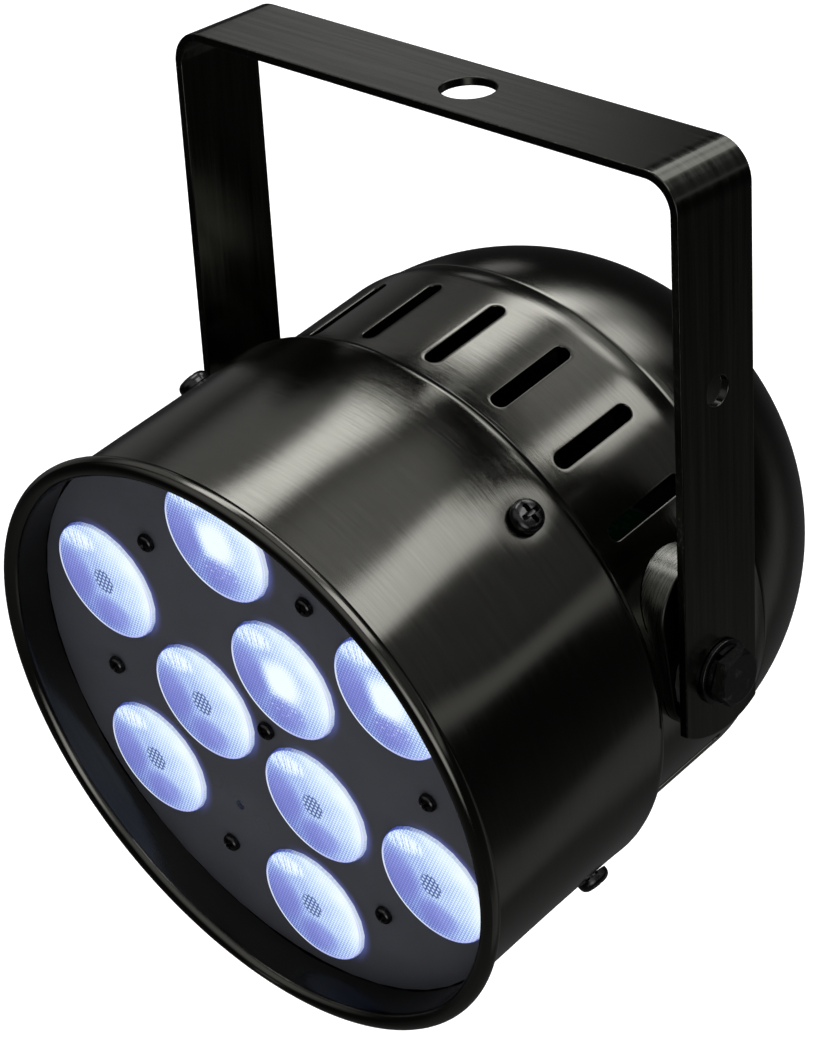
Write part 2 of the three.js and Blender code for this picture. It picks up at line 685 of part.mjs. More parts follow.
add(can, 'control_panel', controlPanel(), 'plate');
add(can, 'display_window', displayWindow(), 'plastic');
buttonPlaces.forEach((_, i) => add(can, `button_${i + 1}`, button(i), 'plastic'));
add(can, 'control_board', controlBoard(), 'board');
add(can, 'data_in', dataInput(dataPlaces[0]), 'plastic');
add(can, 'data_out', dataCup(dataPlaces[1]), 'plastic');
add(can, 'data_out_core', dataCore(dataPlaces[1]), 'plastic');
add(can, 'mains_inlet', mainsInlet(), 'plastic');
panelScrewPlaces().forEach(([x, y], i) => {
  const screw = panScrew(panelScrewHead, plateScrewHeight, plateScrewShank, screwDepth);
  add(can, `panel_screw_${i + 1}`, screw.rotateX(Math.PI).translate(x, y, panelBack - gap), 'screw');
});

export default light;
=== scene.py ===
"""Looks of a par can light that hangs in a bent strap yoke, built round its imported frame.

Metres, +Z up, origin at the middle of the clamp hole, the tilt axis along X, the light towards -Y.
Shapes are given in millimetres along the axes of the can or of one piece, and placed from there.
"""

from __future__ import annotations

import json
import logging
import math
from dataclasses import dataclass
from enum import Enum
from typing import Any, Callable, Sequence

import bmesh
import bpy
import numpy as np
from mathutils import Matrix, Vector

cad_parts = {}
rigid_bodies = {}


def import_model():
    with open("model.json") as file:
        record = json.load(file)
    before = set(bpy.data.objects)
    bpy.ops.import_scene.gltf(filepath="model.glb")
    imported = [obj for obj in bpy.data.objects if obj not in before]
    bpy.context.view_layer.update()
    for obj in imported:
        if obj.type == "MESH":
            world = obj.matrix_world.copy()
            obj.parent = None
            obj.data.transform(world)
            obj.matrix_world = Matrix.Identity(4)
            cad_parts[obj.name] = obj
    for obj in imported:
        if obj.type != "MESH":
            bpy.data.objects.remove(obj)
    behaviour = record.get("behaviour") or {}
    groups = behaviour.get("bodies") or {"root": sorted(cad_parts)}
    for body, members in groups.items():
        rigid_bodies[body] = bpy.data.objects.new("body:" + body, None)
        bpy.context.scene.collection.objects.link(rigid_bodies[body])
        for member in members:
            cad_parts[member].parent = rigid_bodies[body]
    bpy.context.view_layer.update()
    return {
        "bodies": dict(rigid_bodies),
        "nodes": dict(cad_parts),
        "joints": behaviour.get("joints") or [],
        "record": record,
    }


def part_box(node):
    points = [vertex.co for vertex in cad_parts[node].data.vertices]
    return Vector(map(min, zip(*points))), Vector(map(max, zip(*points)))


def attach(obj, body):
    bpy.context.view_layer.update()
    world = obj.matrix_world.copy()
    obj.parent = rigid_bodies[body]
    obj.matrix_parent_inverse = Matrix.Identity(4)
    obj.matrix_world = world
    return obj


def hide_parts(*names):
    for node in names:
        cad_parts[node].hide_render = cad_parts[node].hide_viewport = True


LOG = logging.getLogger("par_can")
MM = 0.001
Array = np.ndarray
Colour = tuple[float, float, float]


class Side(Enum):
    """The two sides of the can, by the sign of X."""

    LEFT = -1
    RIGHT = 1

    @property
    def word(self) -> str:
        """The ending of this side's piece names."""
        return self.name.lower()


class Heart(Enum):
    """What shows in the middle of a lit lens."""

    CELLS = "cells"
    FLARE = "flare"


# ---- Places and surfaces --------------------------------------------------------------------
@dataclass(frozen=True)
class Axes:
    """An origin in metres and three unit directions, along which points are given in millimetres."""

    origin: Array
    x: Array
    y: Array
    z: Array

    def place(self, points: Array) -> Array:
        """Origin plus each coordinate times its direction.

        Args:
            points: Coordinates in millimetres, with x, y and z along the last axis.

        Returns:
            The same points in the row frame, in metres.
        """
        return self.origin + MM * (points @ np.stack([self.x, self.y, self.z]))

    def at(self, x: float, y: float, z: float) -> Axes:
        """The same directions at another origin, given in millimetres."""
        return Axes(self.place(np.array([x, y, z], float)), self.x, self.y, self.z)

    def facing(self, x: Array, z: Array) -> Axes:
        """Axes at the same origin with their x and z along two directions of this one.

        Args:
            x: New x direction, in this one's coordinates.
            z: New z direction, in this one's coordinates.

        Returns:
            Axes with y across both.
        """
        rows = np.stack([self.x, self.y, self.z])
        across, out = np.asarray(x, float) @ rows, np.asarray(z, float) @ rows
        return Axes(self.origin, across, np.cross(out, across), out)


def arc(x: float, y: float, radius: float, start: float, end: float, steps: int) -> Array:
    """Points at a radius from (x, y), at even angles from start to end, in degrees."""
    angle = np.radians(np.linspace(start, end, steps + 1))
    return np.column_stack([x + radius * np.cos(angle), y + radius * np.sin(angle)])


def finer(line: Array, spacing: float) -> Array:
    """A broken line with points added at a spacing along it, and its own corners kept.

    Args:
        line: Points of the line, one per row.
        spacing: Distance between added points.

    Returns:
        More points on the same line.
    """
    length = np.concatenate([[0.0], np.cumsum(np.linalg.norm(np.diff(line, axis=0), axis=1))])
    stops = np.unique(np.round(np.concatenate([length, np.arange(0, length[-1], spacing)]), 6))
    return np.column_stack([np.interp(stops, length, line[:, i]) for i in range(line.shape[1])])


def turned(profile: Array, angles: Array, bend: Callable[..., Array] | None = None) -> Array:
    """A profile of radius and height carried round Z: x = r cos a, y = r sin a, z = height.

    Args:
        profile: Radius and height of each row.
        angles: Angle of each column, in radians.
        bend: Gives what is added to the radius, from angle, radius and height.

    Returns:
        A grid of points, rows by columns by 3.
    """
    radius, height = profile[:, :1], profile[:, 1:] + 0 * angles
    if bend is not None:
        radius = radius + bend(angles[None, :], radius, height)
    return np.stack([radius * np.cos(angles), radius * np.sin(angles), height], axis=-1)


def full_turn(steps: int, start: float = 0.0) -> Array:
    """Even angles once round, in radians, without the last that meets the first."""
    return math.radians(start) + np.arange(steps) * math.tau / steps


class Body:
    """Grids of points gathered into one closed mesh."""

    def __init__(self, axes: Axes) -> None:
        """Starts an empty body.

        Args:
            axes: Axes along which its grids are given.
        """
        self.axes = axes
        self.points: list[Array] = []
        self.faces: list[Array] = []
        self.spots: list[Array] = []
        self.count = 0

    def grid(self, points: Array, around: bool = True, looped: bool = False,
             spots: Array | None = None) -> Body:
        """Adds a grid: each four neighbours make a face.

        Args:
            points: Rows by columns by 3, in millimetres.
            around: Whether the last column meets the first.
            looped: Whether the last row meets the first.
            spots: Pattern coordinates of each point, where a finish follows the surface.

        Returns:
            This body.
        """
        rows, columns = points.shape[:2]
        number = np.arange(rows * columns).reshape(rows, columns)
        if around:
            number = np.concatenate([number, number[:, :1]], axis=1)
        if looped:
            number = np.concatenate([number, number[:1]], axis=0)
        corners = [number[:-1, :-1], number[:-1, 1:], number[1:, 1:], number[1:, :-1]]
        self.faces.append(np.stack(corners, axis=-1).reshape(-1, 4) + self.count)
        self.points.append(self.axes.place(points.reshape(-1, 3)))
        self.spots.append((points if spots is None else spots).reshape(-1, 3))
        self.count += rows * columns
        return self

    def finish(self, name: str, body: str, slot: str, nodes: Sequence[str], material: bpy.types.Material,
               crease: float = 38.0, bevel: float = 0.0) -> bpy.types.Object:
        """Merges what meets, turns the faces outwards, and puts the piece on its body.

        Args:
            name: Name of the piece.
            body: CAD body that it rides on.
            slot: Material slot of the record; not used.
            nodes: CAD nodes that it stands for.
            material: Its finish.
            crease: Angle in degrees past which an edge is sharp.
            bevel: Width of the rounding of sharp edges, in millimetres, or 0 for none.

        Returns:
            The new object.
        """
        mesh = bpy.data.meshes.new(name)
        mesh.from_pydata(np.concatenate(self.points), [], np.concatenate(self.faces))
        spot = mesh.attributes.new("spot", "FLOAT_VECTOR", "POINT")
        spot.data.foreach_set("vector", np.concatenate(self.spots).astype(np.float32).ravel())
        work = bmesh.new()
        work.from_mesh(mesh)
        bmesh.ops.remove_doubles(work, verts=work.verts, dist=2e-6)
        bmesh.ops.dissolve_degenerate(work, edges=work.edges, dist=1e-7)
        bmesh.ops.recalc_face_normals(work, faces=work.faces)
        work.to_mesh(mesh)
        work.free()
        mesh.shade_smooth()
        mesh.set_sharp_from_angle(angle=math.radians(crease))
        mesh.materials.append(material)
        piece = bpy.data.objects.new(name, mesh)
        bpy.context.scene.collection.objects.link(piece)
        if bevel:
            rounding = piece.modifiers.new("rounding", "BEVEL")
            rounding.width = bevel * MM
            rounding.segments = 2
            rounding.limit_method = "ANGLE"
            rounding.angle_limit = math.radians(crease)
            rounding.harden_normals = True
        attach(piece, body)
        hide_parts(*nodes)
        return piece


@dataclass(frozen=True)
class Hole:
    """A round hole or a slot in a rectangle, with the loops that join the two.

    The slot is two half circles joined by straight sides along the second direction; a round hole
    has no straight. Each side of the rectangle meets one side of the hole, point for point.
    """

    radius: float
    straight: float
    half_a: float
    half_b: float
    steps_a: int
    steps_b: int

    def loops(self) -> tuple[Array, Array, Array]:
        """The rectangle's outline, the hole's outline and the directions out of the hole.

        Returns:
            Three arrays of points in the two directions, all of the same length.
        """
        corner = 0.0 if self.straight else 45.0
        along = np.linspace(-1, 1, self.steps_b, endpoint=False)
        across = np.linspace(1, -1, self.steps_a, endpoint=False)
        side = np.column_stack([np.full(self.steps_b, self.half_a), self.half_b * along])
        top = np.column_stack([self.half_a * across, np.full(self.steps_a, self.half_b)])
        turn = np.radians(np.concatenate([corner * along, 90 - (90 - corner) * across]))
        slide = self.straight * np.concatenate([along, np.ones(self.steps_a)])
        out = np.column_stack([np.cos(turn), np.sin(turn)])
        half_hole = self.radius * out + np.column_stack([0 * slide, slide])
        half_frame = np.concatenate([side, top])
        return (np.concatenate([half_frame, -half_frame]), np.concatenate([half_hole, -half_hole]),
                np.concatenate([out, -out]))

    def through(self, thickness: float, edge: float, rings: int = 4) -> Array:
        """A sheet with the hole through it: inner face, rounded edge, wall, rounded edge, outer face.

        Args:
            thickness: Of the sheet.
            edge: Radius of the rounding at each face.
            rings: Steps between the hole and the rectangle.

        Returns:
            A grid whose last axis is the two directions and the depth under the outer face.
        """
        frame, hole, out = self.loops()
        share = np.linspace(0, 1, rings + 1)[1:, None, None] ** 1.5
        rim = hole + edge * out
        face = rim + (frame - rim) * share
        turn = np.radians(np.linspace(0, 90, 4))[:, None]
        roll = hole[None] + (edge * (1 - np.sin(turn)))[:, :, None] * out
        fall = np.broadcast_to(edge * (1 - np.cos(turn)), roll.shape[:2])
        outer = np.concatenate([face[::-1], roll])
        depth = np.concatenate([np.zeros(face.shape[:2]), fall])
        flat = np.concatenate([outer, outer[::-1]])
        deep = np.concatenate([depth, thickness - depth[::-1]])
        return np.concatenate([flat, deep[..., None]], axis=-1)


# ---- Shader maths ---------------------------------------------------------------------------
class Value:
    """A number or a vector on its way through a node tree, with the usual operators."""

    def __init__(self, tree: Tree, socket: bpy.types.NodeSocket) -> None:
        """Wraps a socket of a tree."""
        self.tree = tree
        self.socket = socket

    def _maths(self, operation: str, *values: Any) -> Value:
        """A Math node on these values."""
        return self.tree.node("ShaderNodeMath", {"operation": operation}, dict(enumerate(values)))

    def __add__(self, other: Any) -> Value:
        """This plus another."""
        return self._maths("ADD", self, other)

    __radd__ = __add__

    def __sub__(self, other: Any) -> Value:
        """This less another."""
        return self._maths("SUBTRACT", self, other)

    def __rsub__(self, other: Any) -> Value:
        """Another less this."""
        return self._maths("SUBTRACT", other, self)

    def __mul__(self, other: Any) -> Value:
        """This times another."""
        return self._maths("MULTIPLY", self, other)

    __rmul__ = __mul__

    def __truediv__(self, other: Any) -> Value:
        """This over another."""
        return self._maths("DIVIDE", self, other)

    def __pow__(self, other: float) -> Value:
        """This to a power."""
        return self._maths("POWER", self, other)

    def __mod__(self, other: float) -> Value:
        """What is left of this after whole steps of another, never below 0."""
        return self._maths("FLOORED_MODULO", self, other)

    def __abs__(self) -> Value:
        """This without its sign."""
        return self._maths("ABSOLUTE", self)

    def least(self, other: Any) -> Value:
        """The smaller of this and another."""
        return self._maths("MINIMUM", self, other)

    def most(self, other: Any) -> Value:
        """The larger of this and another."""
        return self._maths("MAXIMUM", self, other)

    def under(self, other: Any) -> Value:
        """1 where this is less than another, and 0 elsewhere."""
        return self._maths("LESS_THAN", self, other)

    def ramp(self, low: float, high: float, to_low: float = 0.0, to_high: float = 1.0) -> Value:
        """A smooth step of this from low to high, onto to_low and to_high."""
        sockets = {"Value": self, "From Min": low, "From Max": high, "To Min": to_low, "To Max": to_high}
        return self.tree.node("ShaderNodeMapRange", {"interpolation_type": "SMOOTHSTEP"}, sockets)


class Tree:
    """A node tree that is written from left to right."""

    def __init__(self, nodes: bpy.types.NodeTree) -> None:
        """Clears the tree and starts to write in it."""
        self.nodes = nodes
        nodes.nodes.clear()

    def node(self, kind: str, settings: dict[str, Any] | None = None,
             sockets: dict[Any, Any] | None = None, out: Any = 0) -> Value:
        """Adds a node: its settings first, then the values or links of its sockets.

        Args:
            kind: Node type.
            settings: Its own settings; stops is a list of places and colours for a ramp.
            sockets: Values or links, by socket name or number.
            out: Name or number of the output to go on with.

        Returns:
            The output, as a value.
        """
        made = self.nodes.nodes.new(kind)
        for key, value in (settings or {}).items():
            if key == "stops":
                bar = made.color_ramp.elements
                while len(bar) < len(value):
                    bar.new(0.5)
                for stop, (place, colour) in zip(bar, value, strict=True):
                    stop.position = place
                    stop.color = (*colour, 1.0)
            else:
                setattr(made, key, value)
        for key, value in (sockets or {}).items():
            if isinstance(value, Value):
                self.nodes.links.new(value.socket, made.inputs[key])
            elif isinstance(value, tuple) and len(value) == 3 and made.inputs[key].type == "RGBA":
                made.inputs[key].default_value = (*value, 1.0)
            else:
                made.inputs[key].default_value = value
        return Value(self, made.outputs[out]) if len(made.outputs) else Value(self, made.inputs[0])

    def place(self) -> Value:
        """Object coordinates, in metres."""
        return self.node("ShaderNodeTexCoord", out="Object")

    def along(self, vector: Value, direction: Sequence[float], scale: float = 1.0) -> Value:
        """How far a vector goes along a direction, times a scale."""
        aim = tuple(float(part) * scale for part in direction)
        return self.node("ShaderNodeVectorMath", {"operation": "DOT_PRODUCT"}, {0: vector, 1: aim}, "Value")

    def vector(self, x: Any, y: Any, z: Any) -> Value:
        """Three values as a vector."""
        return self.node("ShaderNodeCombineXYZ", sockets={0: x, 1: y, 2: z})

    def parts(self, vector: Value) -> tuple[Value, Value, Value]:
        """A vector as three values."""
        split = self.node("ShaderNodeSeparateXYZ", sockets={0: vector}).socket.node
        return tuple(Value(self, output) for output in split.outputs)

    def noise(self, vector: Value, scale: float, detail: float = 2.0, rough: float = 0.5) -> Value:
        """Soft noise from 0 to 1 in a vector."""
        sockets = {"Vector": vector, "Scale": scale, "Detail": detail, "Roughness": rough}
        return self.node("ShaderNodeTexNoise", sockets=sockets, out="Fac")

    def shades(self, share: Value, *stops: tuple[float, Colour]) -> Value:
        """A colour from a ramp of places and colours."""
        return self.node("ShaderNodeValToRGB", {"stops": list(stops)}, {"Fac": share})

    def blend(self, share: Any, first: Any, second: Any, how: str = "MIX") -> Value:
        """Two colours mixed by a share."""
        return self.node("ShaderNodeMix", {"data_type": "RGBA", "blend_type": how},
                         {0: share, 6: first, 7: second}, out=2)

    def bump(self, height: Value, depth: float, strength: float) -> Value:
        """A normal that a height in depths of so many metres bends."""
        sockets = {"Height": height, "Distance": depth, "Strength": strength}
        return self.node("ShaderNodeBump", sockets=sockets)


class CanSpace:
    """Coordinates across, above and along the can, in millimetres, inside a finish."""

    def __init__(self, tree: Tree, can: Axes) -> None:
        """Works out the three coordinates from object coordinates.

        Args:
            tree: The material's nodes.
            can: The can's axes.
        """
        place = tree.place()
        ends = [float(can.origin @ way) / MM for way in (can.x, can.y, can.z)]
        ways = (can.x, can.y, can.z)
        self.tree = tree
        self.x, self.up, self.ahead = (
            tree.along(place, way, 1 / MM) - end for way, end in zip(ways, ends, strict=True))

    def brushed(self, across: float, around: float) -> Value:
        """Noise in lines round the can.

        Args:
            across: Lines per millimetre along the can.
            around: How fast the lines change round it, in changes per turn over tau.

        Returns:
            Noise from 0 to 1.
        """
        radius = (self.x * self.x + self.up * self.up + 1.0) ** 0.5
        spread = self.tree.vector(self.x / radius * around, self.up / radius * around,
                                  self.ahead * across + radius * across)
        return self.tree.noise(spread, 1.0, 3.0, 0.6)


# ---- Finishes -------------------------------------------------------------------------------
@dataclass(frozen=True)
class Finish:
    """A named finish, made once and shared by the pieces that wear it."""

    name: str
    slot: str

    def material(self) -> bpy.types.Material:
        """The finish as a material, made the first time that it is asked for.

        Returns:
            The material.
        """
        found = bpy.data.materials.get(self.name)
        if found is not None:
            return found
        made = bpy.data.materials.new(self.name)
        made.use_nodes = True
        tree = Tree(made.node_tree)
        shader = self.shader(tree)
        tree.node("ShaderNodeOutputMaterial", sockets={"Surface": shader})
        return made

    def shader(self, tree: Tree) -> Value:
        """The finish's shader, which each finish gives in its own way.

        Args:
            tree: The material's nodes.

        Returns:
            The shader, for the material's surface.
        """
        raise NotImplementedError

    def dress(self, *nodes: str) -> None:
        """Puts the finish in the slots of CAD nodes that are shown as they are."""
        for node in nodes:
            piece = bpy.data.objects[node]
            piece.data.materials.clear()
            piece.data.materials.append(self.material())


@dataclass(frozen=True)
class SpunShell(Finish):
    """Black anodised metal, spun and brushed round the can."""

    can: Axes
    metal: Colour = (0.090, 0.089, 0.080)
    roughness: float = 0.135

    def shader(self, tree: Tree) -> Value:
        """Lines round the can in the height and the gloss, with faint cloudy wear."""
        space = CanSpace(tree, self.can)
        fine = space.brushed(5.0, 6.0)
        coarse = space.brushed(1.2, 3.0)
        cloud = tree.noise(tree.place(), 26.0, 4.0, 0.55)
        wear = fine * 0.5 + coarse * 0.3 + cloud * 0.2
        dark = tuple(part * 0.8 for part in self.metal)
        light = tuple(part * 1.2 for part in self.metal)
        return tree.node("ShaderNodeBsdfPrincipled", sockets={
            "Base Color": tree.shades(wear, (0.3, dark), (0.5, self.metal), (0.72, light)),
            "Metallic": 1.0,
            "Roughness": wear.ramp(0.3, 0.72, self.roughness * 0.8, self.roughness * 1.3),
            "Normal": tree.bump(fine * 0.6 + coarse * 0.4, 0.00012, 0.25),
        }, out="BSDF")


@dataclass(frozen=True)
class MilledPad(Finish):
    """Black pad, darker on its face and brighter on the wall under it, with lines drawn along its edge."""

    face: float = 93.6

    def shader(self, tree: Tree) -> Value:
        """Dark on the face, bright on the wall under it, with lines round the wall."""
        spot = tree.node("ShaderNodeAttribute", {"attribute_name": "spot"}, out="Vector")
        x, y, z = tree.parts(spot)
        drawn = tree.noise(tree.vector(x * 0.05, y * 0.05, z * 4.0), 1.0, 3.0, 0.6)
        wall = z.ramp(self.face - 0.75, self.face - 0.3, 1.0, 0.0)
        bright = tree.shades(drawn, (0.3, (0.07, 0.07, 0.064)), (0.7, (0.20, 0.20, 0.18)))
        return tree.node("ShaderNodeBsdfPrincipled", sockets={
            "Base Color": tree.blend(wall, (0.03, 0.03, 0.027), bright),
            "Metallic": 1.0,
            "Roughness": drawn.ramp(0.3, 0.7, 0.22, 0.38),
            "Normal": tree.bump(drawn, 0.00012, 0.3),
        }, out="BSDF")


@dataclass(frozen=True)
class StrapPaint(Finish):
    """Satin black strap, with drawn streaks along it and specks on its cut edges."""

    half_width: float = 16.0

    def shader(self, tree: Tree) -> Value:
        """Streaks that change fast across the strap, and specks near its edges."""
        x, y, z = tree.parts(tree.place())
        streak = tree.noise(tree.vector(x * 14.0, y * 520.0, z * 14.0), 1.0, 4.0, 0.62)
        speck = tree.noise(tree.place(), 900.0, 2.0, 0.6)
        edge = (abs(y) / MM).ramp(self.half_width - 0.5, self.half_width - 0.1)
        worn = (edge * speck.ramp(0.55, 0.7)).least(1.0) * 0.5
        body = tree.shades(streak, (0.32, (0.038, 0.038, 0.034)), (0.6, (0.055, 0.055, 0.049)),
                           (0.8, (0.085, 0.085, 0.076)))
        return tree.node("ShaderNodeBsdfPrincipled", sockets={
            "Base Color": tree.blend(worn, body, (0.22, 0.22, 0.20)),
            "Metallic": 1.0,
            "Roughness": streak.ramp(0.3, 0.75, 0.17, 0.25),
            "Normal": tree.bump(streak * 0.7 + speck * 0.3, 0.0001, 0.22),
        }, out="BSDF")


@dataclass(frozen=True)
class PlatePaint(Finish):
    """Slate powder coat, with a painted glow of the lenses' blue light round each lens."""

    can: Axes
    lenses: tuple[tuple[float, float], ...] = ()
    lens_radius: float = 20.3
    marks: tuple[tuple[float, float, float], ...] = ()
    glow_way: tuple[float, float] = (0.88, 0.47)
    glow_reach: float = 4.5

    def shader(self, tree: Tree) -> Value:
        """Fine grain, pressed rings, and a painted glow of lens light that fades with the distance from the
        nearest lens.
        """
        space = CanSpace(tree, self.can)
        grain = tree.noise(tree.place(), 1400.0, 3.0, 0.6)
        cloud = tree.noise(tree.place(), 40.0, 3.0)
        # Painted glow: the lenses' blue light on the plate, strongest on the side that glow_way points to.
        glow: Value | None = None
        for across, up in self.lenses:
            beside, above = space.x - across, space.up - up
            reach = (beside * beside + above * above) ** 0.5
            lean = (beside * self.glow_way[0] + above * self.glow_way[1]) / reach
            halo = reach.ramp(self.lens_radius - 0.6, self.lens_radius + self.glow_reach, 1.0, 0.0)
            halo = halo * lean.ramp(-0.2, 0.75)
            glow = halo if glow is None else glow.most(halo)
        rings: Value | None = None
        for across, up, radius in self.marks:
            reach = ((space.x - across) ** 2.0 + (space.up - up) ** 2.0) ** 0.5
            ring = (abs(reach - radius)).ramp(0.1, 0.5, 1.0, 0.0)
            rings = ring if rings is None else rings.most(ring)
        tone = tree.shades(grain * 0.6 + cloud * 0.4,
                           (0.3, (0.036, 0.038, 0.048)), (0.7, (0.060, 0.063, 0.078)))
        height = grain * 0.5 + (rings * 1.2 if rings is not None else 0.0)
        return tree.node("ShaderNodeBsdfPrincipled", sockets={
            "Base Color": tone,
            "Metallic": 0.1,
            "Roughness": grain.ramp(0.3, 0.7, 0.42, 0.56),
            "Normal": tree.bump(height, 0.00012, 0.3),
            # Painted glow of the lenses, given as emission of the plate.
            "Emission Color": tree.blend(glow ** 2.2, (0.0, 0.0, 0.0), (0.07, 0.085, 0.32)),
            "Emission Strength": 1.0,
        }, out="BSDF")


@dataclass(frozen=True)
class LitLens(Finish):
    """A lit lens whose face is pressed into six-sided cells."""

    heart: Heart = Heart.CELLS
    radius: float = 20.3
    cell: float = 1.15
    heart_cell: float = 1.65
    heart_radius: float = 4.0

    def cells(self, x: Value, y: Value, wide: float) -> tuple[Value, Value]:
        """Cells on a hexagon grid.

        Each point is held against the nearer of two rectangular grids of cell centres, one shifted by
        half a step; its distance to the cell's edge is the larger of its distances across three ways.

        Args:
            x: Place across the lens.
            y: Place up the lens.
            wide: Distance between neighbouring cells.

        Returns:
            How near the point is to its cell's edge, 0 to 1, and the cell's height, 1 in its middle.
        """
        tall = wide * math.sqrt(3)
        ax, ay = x % wide - wide / 2, y % tall - tall / 2
        bx, by = (x + wide / 2) % wide - wide / 2, (y + tall / 2) % tall - tall / 2
        first = (ax * ax + ay * ay).under(bx * bx + by * by)
        cx, cy = abs(ax * first + bx * (1.0 - first)), abs(ay * first + by * (1.0 - first))
        edge = cx.most(cx * 0.5 + cy * 0.866) / (wide / 2)
        return edge, 1.0 - (cx * cx + cy * cy) / (wide * wide / 3)

    def pool(self, x: Value, y: Value, middle: tuple[float, float], wide: float, tall: float) -> Value:
        """A soft oval patch, 1 in its middle, with its place and size as shares of the radius."""
        across, up = (x / self.radius - middle[0]) / wide, (y / self.radius - middle[1]) / tall
        return (across * across + up * up).ramp(0.0, 1.0, 1.0, 0.0)

    def shader(self, tree: Tree) -> Value:
        """Cells over a sweep from violet blue to white, with the chip seen at the centre, a painted
        highlight near the top left and painted shade on the outer edge.
        """
        spot = tree.node("ShaderNodeAttribute", {"attribute_name": "spot"}, out="Vector")
        x, y, _ = tree.parts(spot)
        edge, dome = self.cells(x, y, self.cell)
        reach = (x * x + y * y) ** 0.5 / self.radius
        facing = (x * 0.84 + y * 0.54) / self.radius
        swirl = tree.noise(tree.vector(x * 0.05, y * 0.05, 0.0), 1.6, 2.0)
        streaks = tree.noise(tree.vector(x * 1.5, y * 0.12, 0.0), 1.0, 3.0, 0.6)
        violet = self.pool(x, y, (-0.62, -0.05), 0.42, 0.6).most(self.pool(x, y, (-0.02, -0.58), 0.5, 0.36))
        # Painted highlight: a whiter patch in short streaks near the top left of the face.
        painted_highlight = self.pool(x, y, (-0.42, 0.66), 0.5, 0.24) * streaks.ramp(0.35, 0.6)
        lit = facing * 0.40 + 0.56 + (swirl - 0.5) * 0.4 - violet * 0.20 + painted_highlight * 0.45
        clear = lit.ramp(0.62, 0.95, 1.0, 0.25)
        lit = lit + (dome - 0.62) * clear * 0.7
        if self.heart is Heart.FLARE:
            sparks = tree.noise(tree.vector(x, y, 0.0), 1.1, 1.0).ramp(0.63, 0.7)
            lit = lit + reach.ramp(0.04, 0.5, 0.9, 0.0) + sparks * self.pool(x, y, (0.0, -0.45), 0.5, 0.3)
        tone = tree.shades(lit, (0.02, (0.09, 0.12, 0.38)), (0.3, (0.22, 0.29, 0.68)),
                           (0.5, (0.36, 0.48, 0.84)), (0.7, (0.56, 0.75, 0.95)), (0.92, (0.88, 0.97, 1.0)))
        tone = tree.blend(violet * 0.35, tone, (0.27, 0.24, 0.70))
        if self.heart is Heart.CELLS:
            near, _ = self.cells(x + self.heart_cell / 2, y, self.heart_cell)
            oval = ((x + 0.4) ** 2.0 + (y * 0.9) ** 2.0) ** 0.5
            patch = oval.ramp(self.heart_radius - 0.35, self.heart_radius + 0.35, 0.9, 0.0)
            chip = tree.blend(near.ramp(0.42, 0.78, 1.0, 0.0), (0.035, 0.06, 0.22), (0.56, 0.72, 0.98))
            tone = tree.blend(patch, tone, chip)
        rim = reach.ramp(0.93, 0.955) * reach.ramp(0.968, 0.98, 1.0, 0.0)
        lilac = rim * ((x * 0.7 - y * 0.7) / self.radius).ramp(0.2, 0.7)
        tone = tree.blend(rim * facing.ramp(-0.85, -0.3, 0.95, 0.0), tone, (0.85, 0.92, 1.0))
        tone = tree.blend(lilac * 0.7, tone, (0.52, 0.52, 0.92))
        # Painted shade: the outer edge darkened towards navy, fully at the lower left and about a third at
        # the upper right.
        edge_shade_painted = reach.ramp(0.972, 0.99) * facing.ramp(-0.2, 0.8, 1.0, 0.35)
        return tree.node("ShaderNodeBsdfPrincipled", sockets={
            "Base Color": (0.02, 0.03, 0.08),
            "Roughness": 0.12,
            "Normal": tree.bump(dome, 0.00012, 0.5),
            "Emission Color": tree.blend(edge_shade_painted, tone, (0.03, 0.05, 0.32)),
            "Emission Strength": 1.0,
        }, out="BSDF")


@dataclass(frozen=True)
class BlackSteel(Finish):
    """Blackened steel of screws, bolts and washers, with bright worn spots."""

    roughness: float = 0.2
    metal: Colour = (0.05, 0.05, 0.05)

    def shader(self, tree: Tree) -> Value:
        """A dark oxide with small worn spots and a fine grain."""
        grain = tree.noise(tree.place(), 900.0, 4.0, 0.6)
        worn = tree.noise(tree.place(), 260.0, 3.0, 0.6).ramp(0.6, 0.74)
        light = tuple(min(1.0, part * 3.2) for part in self.metal)
        return tree.node("ShaderNodeBsdfPrincipled", sockets={
            "Base Color": tree.blend(worn, self.metal, light),
            "Metallic": 1.0,
            "Roughness": grain.ramp(0.3, 0.7, self.roughness * 0.8, self.roughness * 1.5),
            "Normal": tree.bump(grain, 0.00006, 0.3),
        }, out="BSDF")


@dataclass(frozen=True)
class BareMetal(Finish):
    """Plain aluminium or zinc plate, drawn along one way."""

    metal: Colour = (0.42, 0.43, 0.44)

    def shader(self, tree: Tree) -> Value:
        """Drawn lines and soft stains."""
        x, y, z = tree.parts(tree.place())
        lines = tree.noise(tree.vector(x * 500.0, y * 16.0, z * 500.0), 1.0, 3.0)
        stain = tree.noise(tree.place(), 30.0, 4.0)
        share = lines * 0.6 + stain * 0.4
        dark = tuple(part * 0.7 for part in self.metal)
        return tree.node("ShaderNodeBsdfPrincipled", sockets={
            "Base Color": tree.shades(share, (0.3, dark), (0.7, self.metal)),
            "Metallic": 0.9,
            "Roughness": share.ramp(0.3, 0.7, 0.32, 0.5),
            "Normal": tree.bump(lines, 0.00006, 0.3),
        }, out="BSDF")


